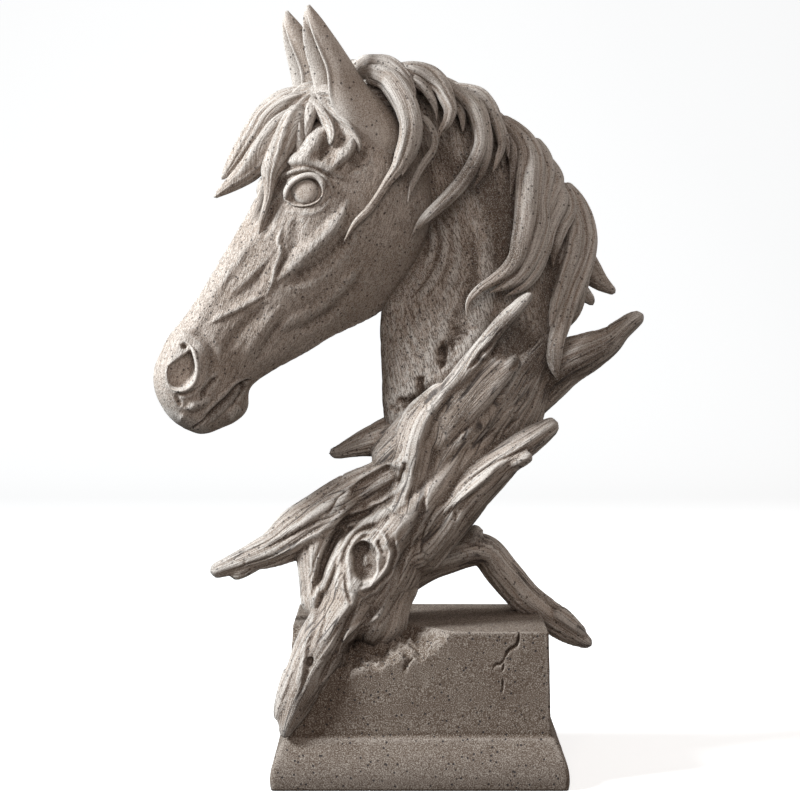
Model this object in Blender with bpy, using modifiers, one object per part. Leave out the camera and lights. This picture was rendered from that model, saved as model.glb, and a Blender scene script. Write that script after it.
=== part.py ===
"""Horse head and neck rising out of driftwood on a moulded plinth, cast in one piece.

Row frame: metres, +Z up, origin at the centre of the plinth's underside, the long front face of the plinth
towards -Y and the horse looking towards -X. Tables and paths below are in millimetres.

The horse is modelled square in a frame of its own, x back along the body, y across and z up, and is then
turned as one towards the front of the plinth. Head, neck, ears, locks of mane and driftwood limbs are lofts;
a voxel remesh welds them into one skin, which is thinned and joined to the plinth.
"""

import math

import bmesh
import bpy
import numpy as np
from mathutils import Matrix, Vector, noise

MM = 0.001

# Plinth: a block with an S-shaped foot all round.
BLOCK_HALF = (76.5, 54.0)  # half length and half depth of the block
BLOCK_TOP = 92.5
BATTER = 1.5  # how much wider the block is at its foot than at its top
FOOT_OVERHANG = 10.5
FOOT_TOP = 31.0
FOOT_FULLEST = 0.8  # how far down the foot it bulges most
FOOT_CURVE_STEPS = 10
EDGE_ROUND = 1.2

# The horse's own frame in the row frame.
TURN = math.radians(19.0)
TURN_CENTRE = (20.0, 0.0)

# Head: stations along the line from poll to lips.
POLL = (-62.0, 400.0)
LIPS = (-168.0, 235.0)
# along the head, forehead edge, jaw edge, then half widths at four levels from forehead to jaw
HEAD_LEVELS = (0.07, 0.28, 0.55, 0.82)
HEAD_STATIONS = (
    (-14.0, 2.0, -44.0, 12.0, 18.0, 18.0, 10.0),
    (5.0, 17.0, -66.0, 19.0, 26.0, 25.0, 14.0),
    (28.0, 26.0, -80.0, 24.0, 31.0, 32.0, 23.0),
    (50.0, 27.0, -85.0, 24.0, 34.0, 33.0, 23.0),
    (72.0, 25.0, -83.0, 19.0, 31.0, 30.0, 19.0),
    (96.0, 23.5, -75.0, 14.0, 23.5, 25.0, 14.0),
    (120.0, 23.0, -60.0, 11.5, 18.0, 19.5, 11.0),
    (142.0, 22.5, -48.0, 10.5, 15.5, 16.5, 10.5),
    (162.0, 22.5, -37.0, 11.5, 16.5, 16.0, 11.0),
    (180.0, 24.0, -37.0, 14.0, 20.0, 17.0, 13.0),
    (194.0, 21.0, -39.0, 13.5, 19.5, 16.5, 12.5),
    (205.0, 12.0, -34.0, 11.0, 16.0, 14.0, 10.0),
    (213.0, 0.0, -21.0, 5.0, 8.0, 7.5, 5.0),
)

# Features on both sides of the head: along the head, height above the poll-to-lips line, distance out from the
# middle plane, then half width and half depth of the swelling.
HEAD_FEATURES = {
    "eyeball": ((56.0, 8.0, 25.0, 8.0, 8.0), (60.0, 8.0, 27.0, 9.5, 9.0), (65.0, 8.5, 24.5, 7.5, 7.5)),
    "brow": (
        (71.0, 17.0, 23.0, 2.5, 3.0), (66.0, 20.0, 26.5, 4.5, 4.5), (55.0, 19.0, 29.5, 5.5, 5.0),
        (45.0, 11.0, 31.0, 5.0, 4.5), (44.0, 0.0, 30.5, 3.0, 3.0),
    ),
    "cheek_bone": (
        (52.0, -13.0, 29.5, 4.0, 4.0), (72.0, -15.0, 28.5, 5.0, 5.0), (96.0, -12.0, 23.5, 4.5, 4.5),
        (122.0, -9.0, 18.0, 3.0, 3.0),
    ),
    "nostril_rim": (
        (172.0, 16.0, 14.0, 3.5, 3.5), (180.0, 20.0, 14.5, 4.0, 4.0), (191.0, 17.0, 14.5, 4.0, 4.0),
        (197.0, 8.0, 14.5, 4.0, 4.0), (191.0, 0.0, 16.5, 4.0, 4.0),
    ),
    "lower_lip": ((182.0, -27.0, 12.5, 4.0, 5.0), (196.0, -29.0, 13.0, 5.5, 5.5), (208.0, -24.0, 7.0, 4.5, 5.0)),
}
NOSTRIL = (185.5, 9.5, 21.0, 8.0)  # along, height, distance out, and half size of the hollow

# Neck: each station is a slice from the throat edge (x, z) to the crest edge (x, z), with its half thickness.
NECK_STATIONS = (
    ((-26.0, 146.0), (6.0, 150.0), 14.0),
    ((-26.0, 166.0), (26.0, 172.0), 23.0),
    ((-32.0, 190.0), (50.0, 200.0), 29.0),
    ((-42.0, 216.0), (74.0, 238.0), 33.0),
    ((-45.0, 250.0), (80.0, 275.0), 34.0),
    ((-45.0, 282.0), (88.0, 312.0), 33.0),
    ((-32.0, 312.0), (80.0, 344.0), 31.0),
    ((-24.0, 340.0), (55.0, 376.0), 28.0),
    ((-28.0, 362.0), (20.0, 401.0), 25.0),
    ((-42.0, 380.0), (-18.0, 419.0), 22.0),
    ((-58.0, 386.0), (-54.0, 420.0), 18.0),
)
NECK_FULLNESS = (0.3, 0.6)  # how much wider the slices are towards the crest, and where they have their stated half

# Ears, in the horse's frame: x, z along the middle line, half size fore and aft, half size across.
EAR_OUT = (19.0, 23.0)  # how far from the middle the root and the tip stand
EAR_LINE = (
    (-66.0, 396.0, 17.0, 12.0),
    (-77.0, 413.0, 14.0, 10.0),
    (-84.0, 427.0, 12.5, 9.0),
    (-90.0, 441.0, 9.5, 7.0),
    (-94.0, 453.0, 5.5, 4.5),
    (-96.5, 463.5, 1.5, 1.5),
)
EAR_SLOT = 0.75  # how deep the hollow in front is, as a share of the ear's own half size
EAR_SLOT_ANGLE = math.radians(34.0)
EAR_SLOT_FACES = math.radians(28.0)  # how far outwards from straight ahead the hollow looks

# Mane and forelock, in the horse's frame: x, y, z, half width and half thickness at each point of a lock.
MANE_NEAR = {
    "poll_lock": (
        (-62, -12, 418, 5, 5), (-50, -24, 427, 9, 6), (-37, -31, 413, 11, 6), (-32, -34, 393, 11, 6),
        (-38, -34, 374, 9, 5), (-52, -33, 352, 3, 3),
    ),
    "poll_crest": ((-68, -4, 420, 4, 5), (-54, -10, 429, 8, 7), (-38, -20, 424, 9, 7), (-26, -27, 410, 7, 6)),
    "second_lock": (
        (-40, -8, 421, 6, 6), (-26, -20, 423, 9, 6), (-13, -29, 407, 9, 6), (-15, -32, 390, 6, 5),
        (-26, -33, 372, 6, 4), (-36, -32, 350, 3, 3),
    ),
    "third_lock": (
        (-20, -8, 415, 7, 6), (2, -17, 410, 10, 6), (15, -26, 397, 10, 6), (18, -30, 377, 8, 5), (6, -31, 358, 3, 3),
    ),
    "cheek_lock": (
        (-8, -20, 406, 5, 5), (4, -29, 392, 8, 6), (5, -32, 374, 8, 6), (-9, -34, 352, 7, 5), (-32, -33, 332, 3, 3),
    ),
    "side_lock": (
        (16, -10, 401, 8, 6), (29, -24, 380, 11, 6), (30, -31, 355, 11, 6), (36, -34, 325, 10, 6),
        (24, -36, 305, 8, 5), (4, -37, 294, 5, 4), (-5, -36, 280, 2, 2),
    ),
    "crest_lock": (
        (38, -8, 388, 8, 7), (52, -20, 368, 10, 6), (52, -29, 340, 9, 6), (45, -33, 312, 7, 5), (24, -36, 296, 3, 3),
    ),
    "outer_lock": (
        (56, -6, 364, 8, 7), (71, -16, 340, 10, 7), (75, -24, 314, 10, 7), (64, -30, 288, 9, 6),
        (52, -33, 266, 7, 5), (56, -34, 243, 3, 3),
    ),
}
MANE_CREST = {
    "poll_crown": ((-76, 0, 400, 12, 16), (-60, 0, 407, 14, 20), (-40, 0, 412, 12, 22), (-20, 0, 412, 10, 20)),
    "crest_ridge": (
        (-46, 0, 418, 7, 10), (-14, 0, 419, 9, 12), (24, 0, 399, 9, 13), (51, 0, 374, 9, 13), (72, 0, 346, 9, 13),
    ),
    "crest_fall": (
        (58, 0, 364, 9, 12), (77, 0, 338, 9, 14), (83, 0, 314, 9, 14), (80, 0, 292, 9, 13), (70, 0, 272, 8, 12),
    ),
    "tuft": ((72, 0, 322, 12, 8), (92, 2, 304, 10, 6), (111, 4, 293, 2, 3)),
}
FORELOCK = {
    "upper_strand": ((-78, 0, 410, 6, 8), (-100, -4, 408, 8, 9), (-122, -8, 391, 6, 6), (-143, -8, 364, 2, 2)),
    "long_strand": ((-90, -6, 403, 6, 6), (-112, -12, 390, 8, 6), (-128, -14, 369, 7, 5), (-149, -12, 349, 2, 2)),
    "hanging_strand": ((-92, -12, 400, 7, 6), (-108, -18, 380, 9, 5), (-116, -20, 358, 6, 4), (-123, -20, 332, 2, 2)),
    "brow_strand": ((-84, -12, 406, 6, 6), (-92, -24, 392, 6, 5), (-86, -31, 376, 4, 4), (-78, -33, 364, 2, 2)),
}

# Driftwood, in the row frame: x, y, z, half width and half depth.
DRIFTWOOD = {
    "trunk": (
        (64, 5, 252, 20, 16), (46, 2, 230, 33, 30), (25, -3, 205, 32, 32), (6, -9, 178, 28, 30),
        (-12, -14, 154, 25, 28), (-29, -19, 130, 26, 27), (-43, -24, 106, 22, 24), (-50, -26, 84, 16, 18),
    ),
    "corner_root": (
        (-36, -26, 118, 18, 18), (-54, -38, 94, 17, 17), (-66, -50, 68, 14, 12), (-77, -56, 44, 9, 9),
        (-83, -60, 21, 3.5, 3.5),
    ),
    "middle_root": ((-22, -14, 120, 20, 22), (-22, -18, 100, 20, 24), (-20, -22, 84, 26, 26)),
    "arch_root": (
        (-18, -4, 110, 13, 14), (4, 4, 121, 12, 13), (22, 10, 130, 11, 12), (36, 15, 134, 11, 11),
        (47, 19, 129, 10, 10), (58, 22, 117, 9, 10), (72, 24, 95, 10, 10), (86, 22, 84, 9, 8), (98, 17, 77, 6, 6),
        (107, 13, 72, 3.5, 3.5),
    ),
    "long_branch": (
        (20, -24, 208, 12, 12), (-12, -26, 190, 17, 13), (-42, -26, 170, 17, 12), (-70, -25, 150, 14, 9),
        (-87, -24, 139, 9, 7), (-105, -22, 132, 6, 5), (-125, -20, 124, 3, 3),
    ),
    "branch_web": ((-48, -24, 164, 14, 10), (-62, -26, 143, 11, 8), (-63, -28, 118, 8, 9), (-62, -32, 100, 8, 9)),
    "throat_branch": ((14, -6, 228, 20, 16), (-14, -10, 216, 17, 14), (-36, -12, 204, 10, 9), (-55, -12, 195, 3, 3)),
    "spike": ((-16, -30, 200, 11, 9), (14, -38, 230, 9, 7), (42, -41, 262, 5, 5), (65, -42, 292, 2, 2)),
    "broken_branch": ((6, -34, 206, 12, 9), (32, -40, 234, 12, 8), (55, -41, 254, 8, 6)),
    "long_right_branch": (
        (30, 4, 200, 24, 22), (62, 6, 220, 20, 18), (88, 8, 240, 15, 13), (112, 8, 260, 10, 9), (128, 6, 271, 6, 6),
        (139, 4, 279, 3, 3),
    ),
    "lower_right_branch": (
        (-6, -14, 118, 14, 14), (12, -20, 148, 14, 13), (32, -23, 174, 13, 11), (58, -23, 196, 9, 8),
        (84, -20, 213, 4, 4),
    ),
    "far_finger": (
        (-8, 6, 140, 12, 10), (12, 20, 172, 12, 9), (24, 32, 206, 11, 8), (30, 40, 238, 8, 6), (34, 44, 268, 3, 3),
    ),
    "far_short_finger": ((14, 18, 176, 12, 9), (42, 30, 208, 11, 8), (62, 38, 236, 7, 6), (74, 42, 258, 3, 3)),
    "side_stub": ((50, -24, 188, 6, 5), (62, -29, 194, 5, 4), (73, -31, 200, 3, 3)),
}
LIMB_LOBES = 5
LIMB_LOBE_DEPTH = 0.10
KNOT_HOLE = ((-31.0, -50.0, 133.0), (8.0, 9.0, 10.5))  # centre and half sizes of the hollow

# The broken front edge of the plinth: a lump cut away, its centre, half sizes and tilt in degrees.
BREAK = ((-25.0, -66.0, 96.0), (49.0, 26.0, 30.0), 0.0)

RING_POINTS = 28
STEPS_PER_SPAN = 5
VOXEL = 2.2
SKIN_TRIANGLES = 8400


def smooth_rows(rows, steps):
    """The rows of a table joined by Catmull-Rom spans, each cut into the given number of steps."""
    table = np.asarray(rows, float)
    first = 2.0 * table[0] - table[1]
    last = 2.0 * table[-1] - table[-2]
    padded = np.vstack([first, table, last])
    pieces = []
    for k in range(len(table) - 1):
        a, b, c, d = padded[k : k + 4]
        for t in np.arange(steps) / steps:
            bend = (2.0 * a - 5.0 * b + 4.0 * c - d) * t**2 + (3.0 * b - a - 3.0 * c + d) * t**3
            pieces.append(0.5 * (2.0 * b + (c - a) * t + bend))
    pieces.append(table[-1])
    return np.array(pieces)


def horse_to_row(points):
    """Points of the horse's own frame, turned towards the front of the plinth."""
    x, y, z = np.moveaxis(np.asarray(points, float), -1, 0)
    c, s = math.cos(TURN), math.sin(TURN)
    return np.stack([x * c - y * s + TURN_CENTRE[0], x * s + y * c + TURN_CENTRE[1], z], axis=-1)


def loft(name, rings, material, collection):
    """A closed mesh object through rings of points, all of one length, with a cap on each end."""
    rings = np.asarray(rings, float) * MM
    count, around, _ = rings.shape
    low = np.arange(count - 1)[:, None] * around + np.arange(around)
    turn = np.arange(count - 1)[:, None] * around + (np.arange(around) + 1) % around
    sides = np.stack([low, turn, turn + around, low + around], axis=-1).reshape(-1, 4).tolist()
    caps = [list(range(around))[::-1], list(range((count - 1) * around, count * around))]
    mesh = bpy.data.meshes.new(name)
    mesh.from_pydata(rings.reshape(-1, 3).tolist(), [], sides + caps)
    shape = bmesh.new()
    shape.from_mesh(mesh)
    bmesh.ops.triangulate(shape, faces=[f for f in shape.faces if len(f.verts) > 4])
    bmesh.ops.recalc_face_normals(shape, faces=shape.faces)
    shape.to_mesh(mesh)
    shape.free()
    mesh.materials.append(material)
    made = bpy.data.objects.new(name, mesh)
    collection.objects.link(made)
    return made


def on_head(along, height, out):
    """A place given along the head, above the line from poll to lips and out to a side, in the horse's frame."""
    forward = np.array(LIPS) - np.array(POLL)
    forward /= np.linalg.norm(forward)
    x, z = np.array(POLL) + forward * along + np.array([forward[1], -forward[0]]) * height
    return x, out, z


def head_rings():
    """Rings across the head. Each half ring runs from the forehead edge over four half widths to the jaw edge."""
    levels = [0.0, *HEAD_LEVELS, 1.0]
    rings = []
    for along, top, bottom, *widths in smooth_rows(HEAD_STATIONS, STEPS_PER_SPAN):
        outline = smooth_rows(list(zip(levels, [0.0, *widths, 0.0])), 3)
        heights = top + (bottom - top) * outline[:, 0]
        halves = np.maximum(outline[:, 1], 0.0)
        near = [on_head(along, height, -half) for height, half in zip(heights, halves)]
        far = [on_head(along, height, half) for height, half in zip(heights, halves)][-2:0:-1]
        rings.append(near + far)
    return horse_to_row(rings)


def feature_rows(rows, side):
    """A feature's path in the horse's frame, on the near side (-1) or the far side (1)."""
    return [(*on_head(along, height, out * side), wide, deep) for along, height, out, wide, deep in rows]


def neck_rings():
    """Egg-shaped rings from throat edge to crest edge, fuller towards the crest."""
    rows = [(*throat, *crest, half) for throat, crest, half in NECK_STATIONS]
    angle = np.arange(RING_POINTS) * 2.0 * math.pi / RING_POINTS
    back = 0.5 - 0.5 * np.cos(angle)
    rings = []
    for throat_x, throat_z, crest_x, crest_z, half in smooth_rows(rows, STEPS_PER_SPAN):
        lean = 1.0 + NECK_FULLNESS[0] * (back - NECK_FULLNESS[1])
        rings.append(np.stack([
            throat_x + (crest_x - throat_x) * back,
            -half * np.sin(angle) * lean,
            throat_z + (crest_z - throat_z) * back,
        ], axis=-1))
    return horse_to_row(rings)


def limb_rings(rows, lobes=0, lobe_depth=0.0, phase=0.0):
    """Oval rings square to a path. Width lies across the path in the front view, depth along Y."""
    table = smooth_rows(rows, STEPS_PER_SPAN)
    path, half_wide, half_deep = table[:, :3], table[:, 3], table[:, 4]
    heading = np.gradient(path, axis=0)
    heading /= np.linalg.norm(heading, axis=1, keepdims=True)
    deep = np.array([0.0, 1.0, 0.0]) - heading * heading[:, 1:2]
    deep /= np.linalg.norm(deep, axis=1, keepdims=True)
    wide = np.cross(heading, deep)
    angle = np.arange(RING_POINTS) * 2.0 * math.pi / RING_POINTS
    along = np.linspace(0.0, 1.0, len(path))[:, None]
    swell = 1.0 + lobe_depth * np.cos(lobes * angle + phase + 2.5 * along)
    across = (half_wide[:, None] * swell * np.cos(angle))[..., None] * wide[:, None]
    through = (half_deep[:, None] * swell * np.sin(angle))[..., None] * deep[:, None]
    return path[:, None] + across + through


def ear_rings(side):
    """Leaf-shaped rings with a slot down the front; side is -1 for the near ear and 1 for the far one."""
    rows = smooth_rows(EAR_LINE, STEPS_PER_SPAN)
    out = np.linspace(*EAR_OUT, len(rows)) * side
    angle = np.arange(RING_POINTS) * 2.0 * math.pi / RING_POINTS
    from_slot = (angle - EAR_SLOT_FACES + math.pi) % (2.0 * math.pi) - math.pi
    reach = 1.0 - EAR_SLOT * np.exp(-((from_slot / EAR_SLOT_ANGLE) ** 2))
    rings = []
    for (x, z, fore, across), y in zip(rows, out):
        ahead = fore * reach * np.cos(angle)
        rings.append(np.stack([x - ahead, y + side * across * reach * np.sin(angle), z - 0.4 * ahead], axis=-1))
    return horse_to_row(rings)


def mirrored(rows, shift):
    """A lock carried to the far side, moved a little so that the two sides don't match exactly."""
    return [(x + shift, -y, z - 0.5 * shift, wide, deep) for x, y, z, wide, deep in rows]


def plinth(material, collection):
    """The block and its S-shaped foot, as square rings up the profile, with small rounded edges."""
    heights, overhangs = [], []
    for step in range(FOOT_CURVE_STEPS + 1):
        down = 1.0 - step / FOOT_CURVE_STEPS
        heights.append(FOOT_TOP * (1.0 - down))
        overhangs.append(BATTER + FOOT_OVERHANG * math.sin(0.5 * math.pi * down / FOOT_FULLEST))
    heights.append(BLOCK_TOP)
    overhangs.append(0.0)
    rings = []
    for height, overhang in zip(heights, overhangs):
        half_x, half_y = BLOCK_HALF[0] + overhang, BLOCK_HALF[1] + overhang
        rings.append([(-half_x, -half_y, height), (half_x, -half_y, height), (half_x, half_y, height),
                      (-half_x, half_y, height)])
    made = loft("plinth_block", rings, material, collection)
    rounding = made.modifiers.new("worn edges", "BEVEL")
    rounding.width = EDGE_ROUND * MM
    rounding.segments = 1
    rounding.limit_method = "ANGLE"
    rounding.angle_limit = math.radians(50.0)
    return made


def lump(name, centre, half_sizes, tilt, roughness, collection):
    """A rough boulder to cut with: a squashed sphere whose points are pushed in and out by noise."""
    shape = bmesh.new()
    bmesh.ops.create_icosphere(shape, subdivisions=3, radius=1.0)
    for vertex in shape.verts:
        vertex.co *= 1.0 + roughness * noise.noise(vertex.co * 2.3)
    place = Matrix.Translation(Vector(centre) * MM) @ Matrix.Rotation(math.radians(tilt), 4, "Y")
    shape.transform(place @ Matrix.Diagonal((*[h * MM for h in half_sizes], 1.0)))
    mesh = bpy.data.meshes.new(name)
    shape.to_mesh(mesh)
    shape.free()
    made = bpy.data.objects.new(name, mesh)
    made.hide_render = True
    made.display_type = "WIRE"
    collection.objects.link(made)
    return made


def boolean(target, other, operation):
    """A Boolean modifier with the exact solver."""
    modifier = target.modifiers.new(operation.lower(), "BOOLEAN")
    modifier.operation = operation
    modifier.solver = "EXACT"
    modifier.object = other


def evaluated_mesh(source, name):
    """The mesh that an object's modifiers give, as new data."""
    graph = bpy.context.evaluated_depsgraph_get()
    mesh = bpy.data.meshes.new_from_object(source.evaluated_get(graph))
    mesh.name = name
    return mesh


def welded_skin(name, parts, material, collection):
    """All the lofts as one mesh, welded by a voxel remesh, eased and thinned to the wanted triangles."""
    mesh = bpy.data.meshes.new(name)
    shape = bmesh.new()
    for part in parts:
        shape.from_mesh(part.data)
        bpy.data.objects.remove(part)
    shape.to_mesh(mesh)
    shape.free()
    skin = bpy.data.objects.new(name, mesh)
    collection.objects.link(skin)
    remesh = skin.modifiers.new("weld", "REMESH")
    remesh.mode = "VOXEL"
    remesh.voxel_size = VOXEL * MM
    ease = skin.modifiers.new("ease", "SMOOTH")
    ease.factor = 0.4
    ease.iterations = 2
    skin.data = evaluated_mesh(skin, name)
    skin.modifiers.clear()
    thin = skin.modifiers.new("thin", "DECIMATE")
    thin.ratio = SKIN_TRIANGLES / (2.0 * len(skin.data.polygons))
    skin.data = evaluated_mesh(skin, name)
    skin.modifiers.clear()
    skin.data.materials.clear()
    skin.data.materials.append(material)
    return skin


def sandstone():
    """Pale grey-brown cast stone."""
    material = bpy.data.materials.new("cast_stone")
    material.use_nodes = True
    shader = material.node_tree.nodes["Principled BSDF"]
    shader.inputs["Base Color"].default_value = (0.38, 0.33, 0.28, 1.0)
    shader.inputs["Roughness"].default_value = 0.9
    shader.inputs["Metallic"].default_value = 0.0
    return material


def main():
    for old in list(bpy.data.objects):
        bpy.data.objects.remove(old)
    parts = bpy.data.collections.new("horse_head_sculpture")
    cutters = bpy.data.collections.new("cutters")
    for collection in (parts, cutters):
        bpy.context.scene.collection.children.link(collection)
    stone = sandstone()

    lofts = [
        loft("head", head_rings(), stone, parts),
        loft("neck", neck_rings(), stone, parts),
        loft("near_ear", ear_rings(-1.0), stone, parts),
        loft("far_ear", ear_rings(1.0), stone, parts),
    ]
    for side in (-1.0, 1.0):
        for name, rows in HEAD_FEATURES.items():
            lofts.append(loft(name, horse_to_row(limb_rings(feature_rows(rows, side))), stone, parts))
    for name, rows in {**MANE_NEAR, **MANE_CREST, **FORELOCK}.items():
        lofts.append(loft(name, horse_to_row(limb_rings(rows)), stone, parts))
    for number, (name, rows) in enumerate(MANE_NEAR.items()):
        shift = 3.0 * math.sin(2.1 * number)
        lofts.append(loft("far_" + name, horse_to_row(limb_rings(mirrored(rows, shift))), stone, parts))
    for number, (name, rows) in enumerate(DRIFTWOOD.items()):
        rings = limb_rings(rows, LIMB_LOBES, LIMB_LOBE_DEPTH, 1.7 * number)
        lofts.append(loft(name, rings, stone, parts))

    skin = welded_skin("sculpted_skin", lofts, stone, parts)
    sculpture = plinth(stone, parts)
    boolean(sculpture, lump("broken_edge", *BREAK, 0.25, cutters), "DIFFERENCE")
    boolean(sculpture, skin, "UNION")
    boolean(sculpture, lump("knot_hollow", *KNOT_HOLE, 0.0, 0.1, cutters), "DIFFERENCE")
    along, height, out, size = NOSTRIL
    for name, side in (("near_nostril", -1.0), ("far_nostril", 1.0)):
        centre = horse_to_row(on_head(along, height, out * side))
        boolean(sculpture, lump(name, centre, (size, size, size), 0.0, 0.1, cutters), "DIFFERENCE")
    sculpture.data = evaluated_mesh(sculpture, "horse_head_sculpture")
    sculpture.modifiers.clear()
    sculpture.name = "horse_head_sculpture"
    sculpture.data.shade_smooth()
    sculpture.data.set_sharp_from_angle(angle=math.radians(40.0))
    bpy.data.objects.remove(skin)
    bpy.context.view_layer.update()


if __name__ == "__main__":
    main()
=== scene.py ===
"""Looks of the horse head sculpture: a horse's head and neck in speckled cast stone, growing out of driftwood.

Row frame: metres, +Z up, origin under the middle of the plinth, its long front towards -Y, the horse looking
towards -X. The tables below are in millimetres. The horse is shaped square in a frame of its own, x back along
the body, y across and z up, and is turned as one towards the front of the plinth. Places on the head are given
along the line from poll to lips and in height above that line, towards the forehead.
"""

import itertools
import logging
import math
from dataclasses import dataclass, field, replace
from enum import Enum
from typing import Callable, Iterable, Sequence, Union

import bmesh
import bpy
import numpy as np
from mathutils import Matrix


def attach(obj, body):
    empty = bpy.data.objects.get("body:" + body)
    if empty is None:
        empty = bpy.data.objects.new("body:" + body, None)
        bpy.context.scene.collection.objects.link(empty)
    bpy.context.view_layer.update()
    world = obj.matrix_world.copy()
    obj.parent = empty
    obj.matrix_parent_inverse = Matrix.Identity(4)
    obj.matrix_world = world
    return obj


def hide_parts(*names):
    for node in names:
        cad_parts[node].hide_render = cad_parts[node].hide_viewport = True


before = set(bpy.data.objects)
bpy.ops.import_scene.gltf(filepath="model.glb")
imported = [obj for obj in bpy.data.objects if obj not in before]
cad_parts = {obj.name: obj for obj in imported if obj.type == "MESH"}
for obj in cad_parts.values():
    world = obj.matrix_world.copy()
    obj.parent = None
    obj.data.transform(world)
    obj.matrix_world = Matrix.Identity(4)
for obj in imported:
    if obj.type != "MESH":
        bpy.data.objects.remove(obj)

LOG = logging.getLogger("horse_head_sculpture")
Array = np.ndarray
Rows = Sequence[Sequence[float]]
Pair = tuple[float, float]
Triple = tuple[float, float, float]

MM = 0.001
NODE = "horse_head_sculpture"

# steps in a smoothed span, and what a stroke keeps of its width and height at its tips
SPAN_STEPS = 24
TIP_WIDTH = 0.45
TIP_HEIGHT = 0.25
TINY = 1e-6
# noise: what each octave keeps of the one before, and the factors that scramble the corners of the lattice
OCTAVE_SHARE = 0.55
HASH_AXES = (73856093, 19349663, 83492791)
HASH_SEED = 2654435761
HASH_MIXES = ((13, 1274126177), (16, 2246822519))
HASH_WORD = 2**32
# locks: the share of the length that each end fades over, the space between their grains, and the section's
# power and growth
LOCK_ENDS = 0.12
GRAIN_APART = 40.0
SECTION_POWER = 1.55
SECTION_GROWTH = 1.10

# the horse's turn about the vertical, and the line from poll to lips, as x and z
TURN = math.radians(19.0)
TURN_CENTRE = (20.0, 0.0)
POLL = np.array([-62.0, 400.0])
LIPS = np.array([-168.0, 235.0])
DOWN_FACE = (LIPS - POLL) / np.linalg.norm(LIPS - POLL)
UP_FACE = np.array([DOWN_FACE[1], -DOWN_FACE[0]])


class Side(Enum):
    """The two flanks of the horse; the value is the sign of y there."""

    NEAR = -1.0
    FAR = 1.0


class Profile(Enum):
    """The cross-section of a stroke of relief: (1 - u^a)^b at the share u of its width; the value is a and b."""

    ROUND = (2, 2)
    CREASE = (1, 2)
    BOWL = (4, 1)
    DISH = (2, 1)

    def shape(self, u: Array) -> Array:
        """The share of the full height at each share of the width."""
        inner, outer = self.value
        return (1.0 - u**inner) ** outer


# short names for the tables
ROUND, CREASE, BOWL, DISH = Profile


# ----------------------------------------
# Curves, frames and noise


def smooth_rows(rows: Rows, steps: int) -> Array:
    """Joins the rows of a table by Catmull-Rom spans.

    Each span is the cubic that leaves a row and reaches the next with slopes of half the step between their
    neighbours. The end rows are continued straight.

    Args:
        rows: the table, one point and its sizes in each row.
        steps: how many pieces each span is cut into.

    Returns:
        The denser table.
    """
    table = np.asarray(rows, float)
    padded = np.vstack([2.0 * table[0] - table[1], table, 2.0 * table[-1] - table[-2]])
    a, b, c, d = (padded[k : k + len(table) - 1, None, :] for k in range(4))
    t = (np.arange(steps) / steps)[None, :, None]
    bend = (2.0 * a - 5.0 * b + 4.0 * c - d) * t**2 + (3.0 * b - a - 3.0 * c + d) * t**3
    spans = 0.5 * (2.0 * b + (c - a) * t + bend)
    return np.vstack([spans.reshape(-1, table.shape[1]), table[-1:]])


def even_rows(rows: Rows, count: int, columns: int = 3) -> Array:
    """A smoothed table taken again at even steps of length along its first columns.

    Args:
        rows: the table.
        count: the number of rows wanted.
        columns: how many of the first columns are a place.

    Returns:
        The table with the wanted number of rows.
    """
    dense = smooth_rows(rows, SPAN_STEPS)
    run = running_sum(step_lengths(dense[:, :columns]))
    wanted = np.linspace(0.0, run[-1], count)
    return pack(*(np.interp(wanted, run, column) for column in dense.T))


def step_lengths(path: Array) -> Array:
    """Lengths of the straight steps of a path."""
    return np.linalg.norm(np.diff(path, axis=0), axis=1)


def running_sum(steps: Array) -> Array:
    """Distances reached after each step, from zero."""
    return np.concatenate([[0.0], np.cumsum(steps)])


def turns(count: int) -> Array:
    """Angles at even steps once round."""
    return np.arange(count) * 2.0 * math.pi / count


def pack(*parts: Array | float) -> Array:
    """Arrays or numbers of one shape as the last axis of one array."""
    return np.stack(np.broadcast_arrays(*parts), axis=-1)


def end_fade(run: Array, share: float) -> Array:
    """Rises smoothly from 0 at both ends of a run from 0 to 1 until the share of it is passed."""
    return smooth_step(np.minimum(run, 1.0 - run) / share)


def smooth_step(value: Array) -> Array:
    """Zero below 0, one above 1 and 3v^2 - 2v^3 between."""
    held = np.clip(value, 0.0, 1.0)
    return held * held * (3.0 - 2.0 * held)


def horse_to_row(points: Array) -> Array:
    """Points of the horse's own frame, turned towards the front of the plinth."""
    x, y, z = np.moveaxis(np.asarray(points, float), -1, 0)
    c, s = math.cos(TURN), math.sin(TURN)
    return pack(x * c - y * s + TURN_CENTRE[0], x * s + y * c + TURN_CENTRE[1], z)


def on_head(along: Array, height: Array, out: Array) -> Array:
    """Places given along the head, above its middle line and out to a side, in the horse's frame."""
    flat = POLL + np.multiply.outer(along, DOWN_FACE) + np.multiply.outer(height, UP_FACE)
    return pack(flat[..., 0], out, flat[..., 1])


def unit(vectors: Array) -> Array:
    """The vectors at length one."""
    return vectors / np.maximum(np.linalg.norm(vectors, axis=-1, keepdims=True), 1e-9)


def corner_mean(cell: Array, share: Array, value: Callable[..., Array]) -> Array:
    """The mean of the values at the eight corners of each cell, weighted by the shares of the way across it."""
    total = np.zeros(share.shape[:-1])
    for corner in itertools.product((0, 1), repeat=3):
        weight = np.prod(np.where(corner, share, 1.0 - share), axis=-1)
        total += weight * value(*np.moveaxis(cell + corner, -1, 0))
    return total


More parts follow.
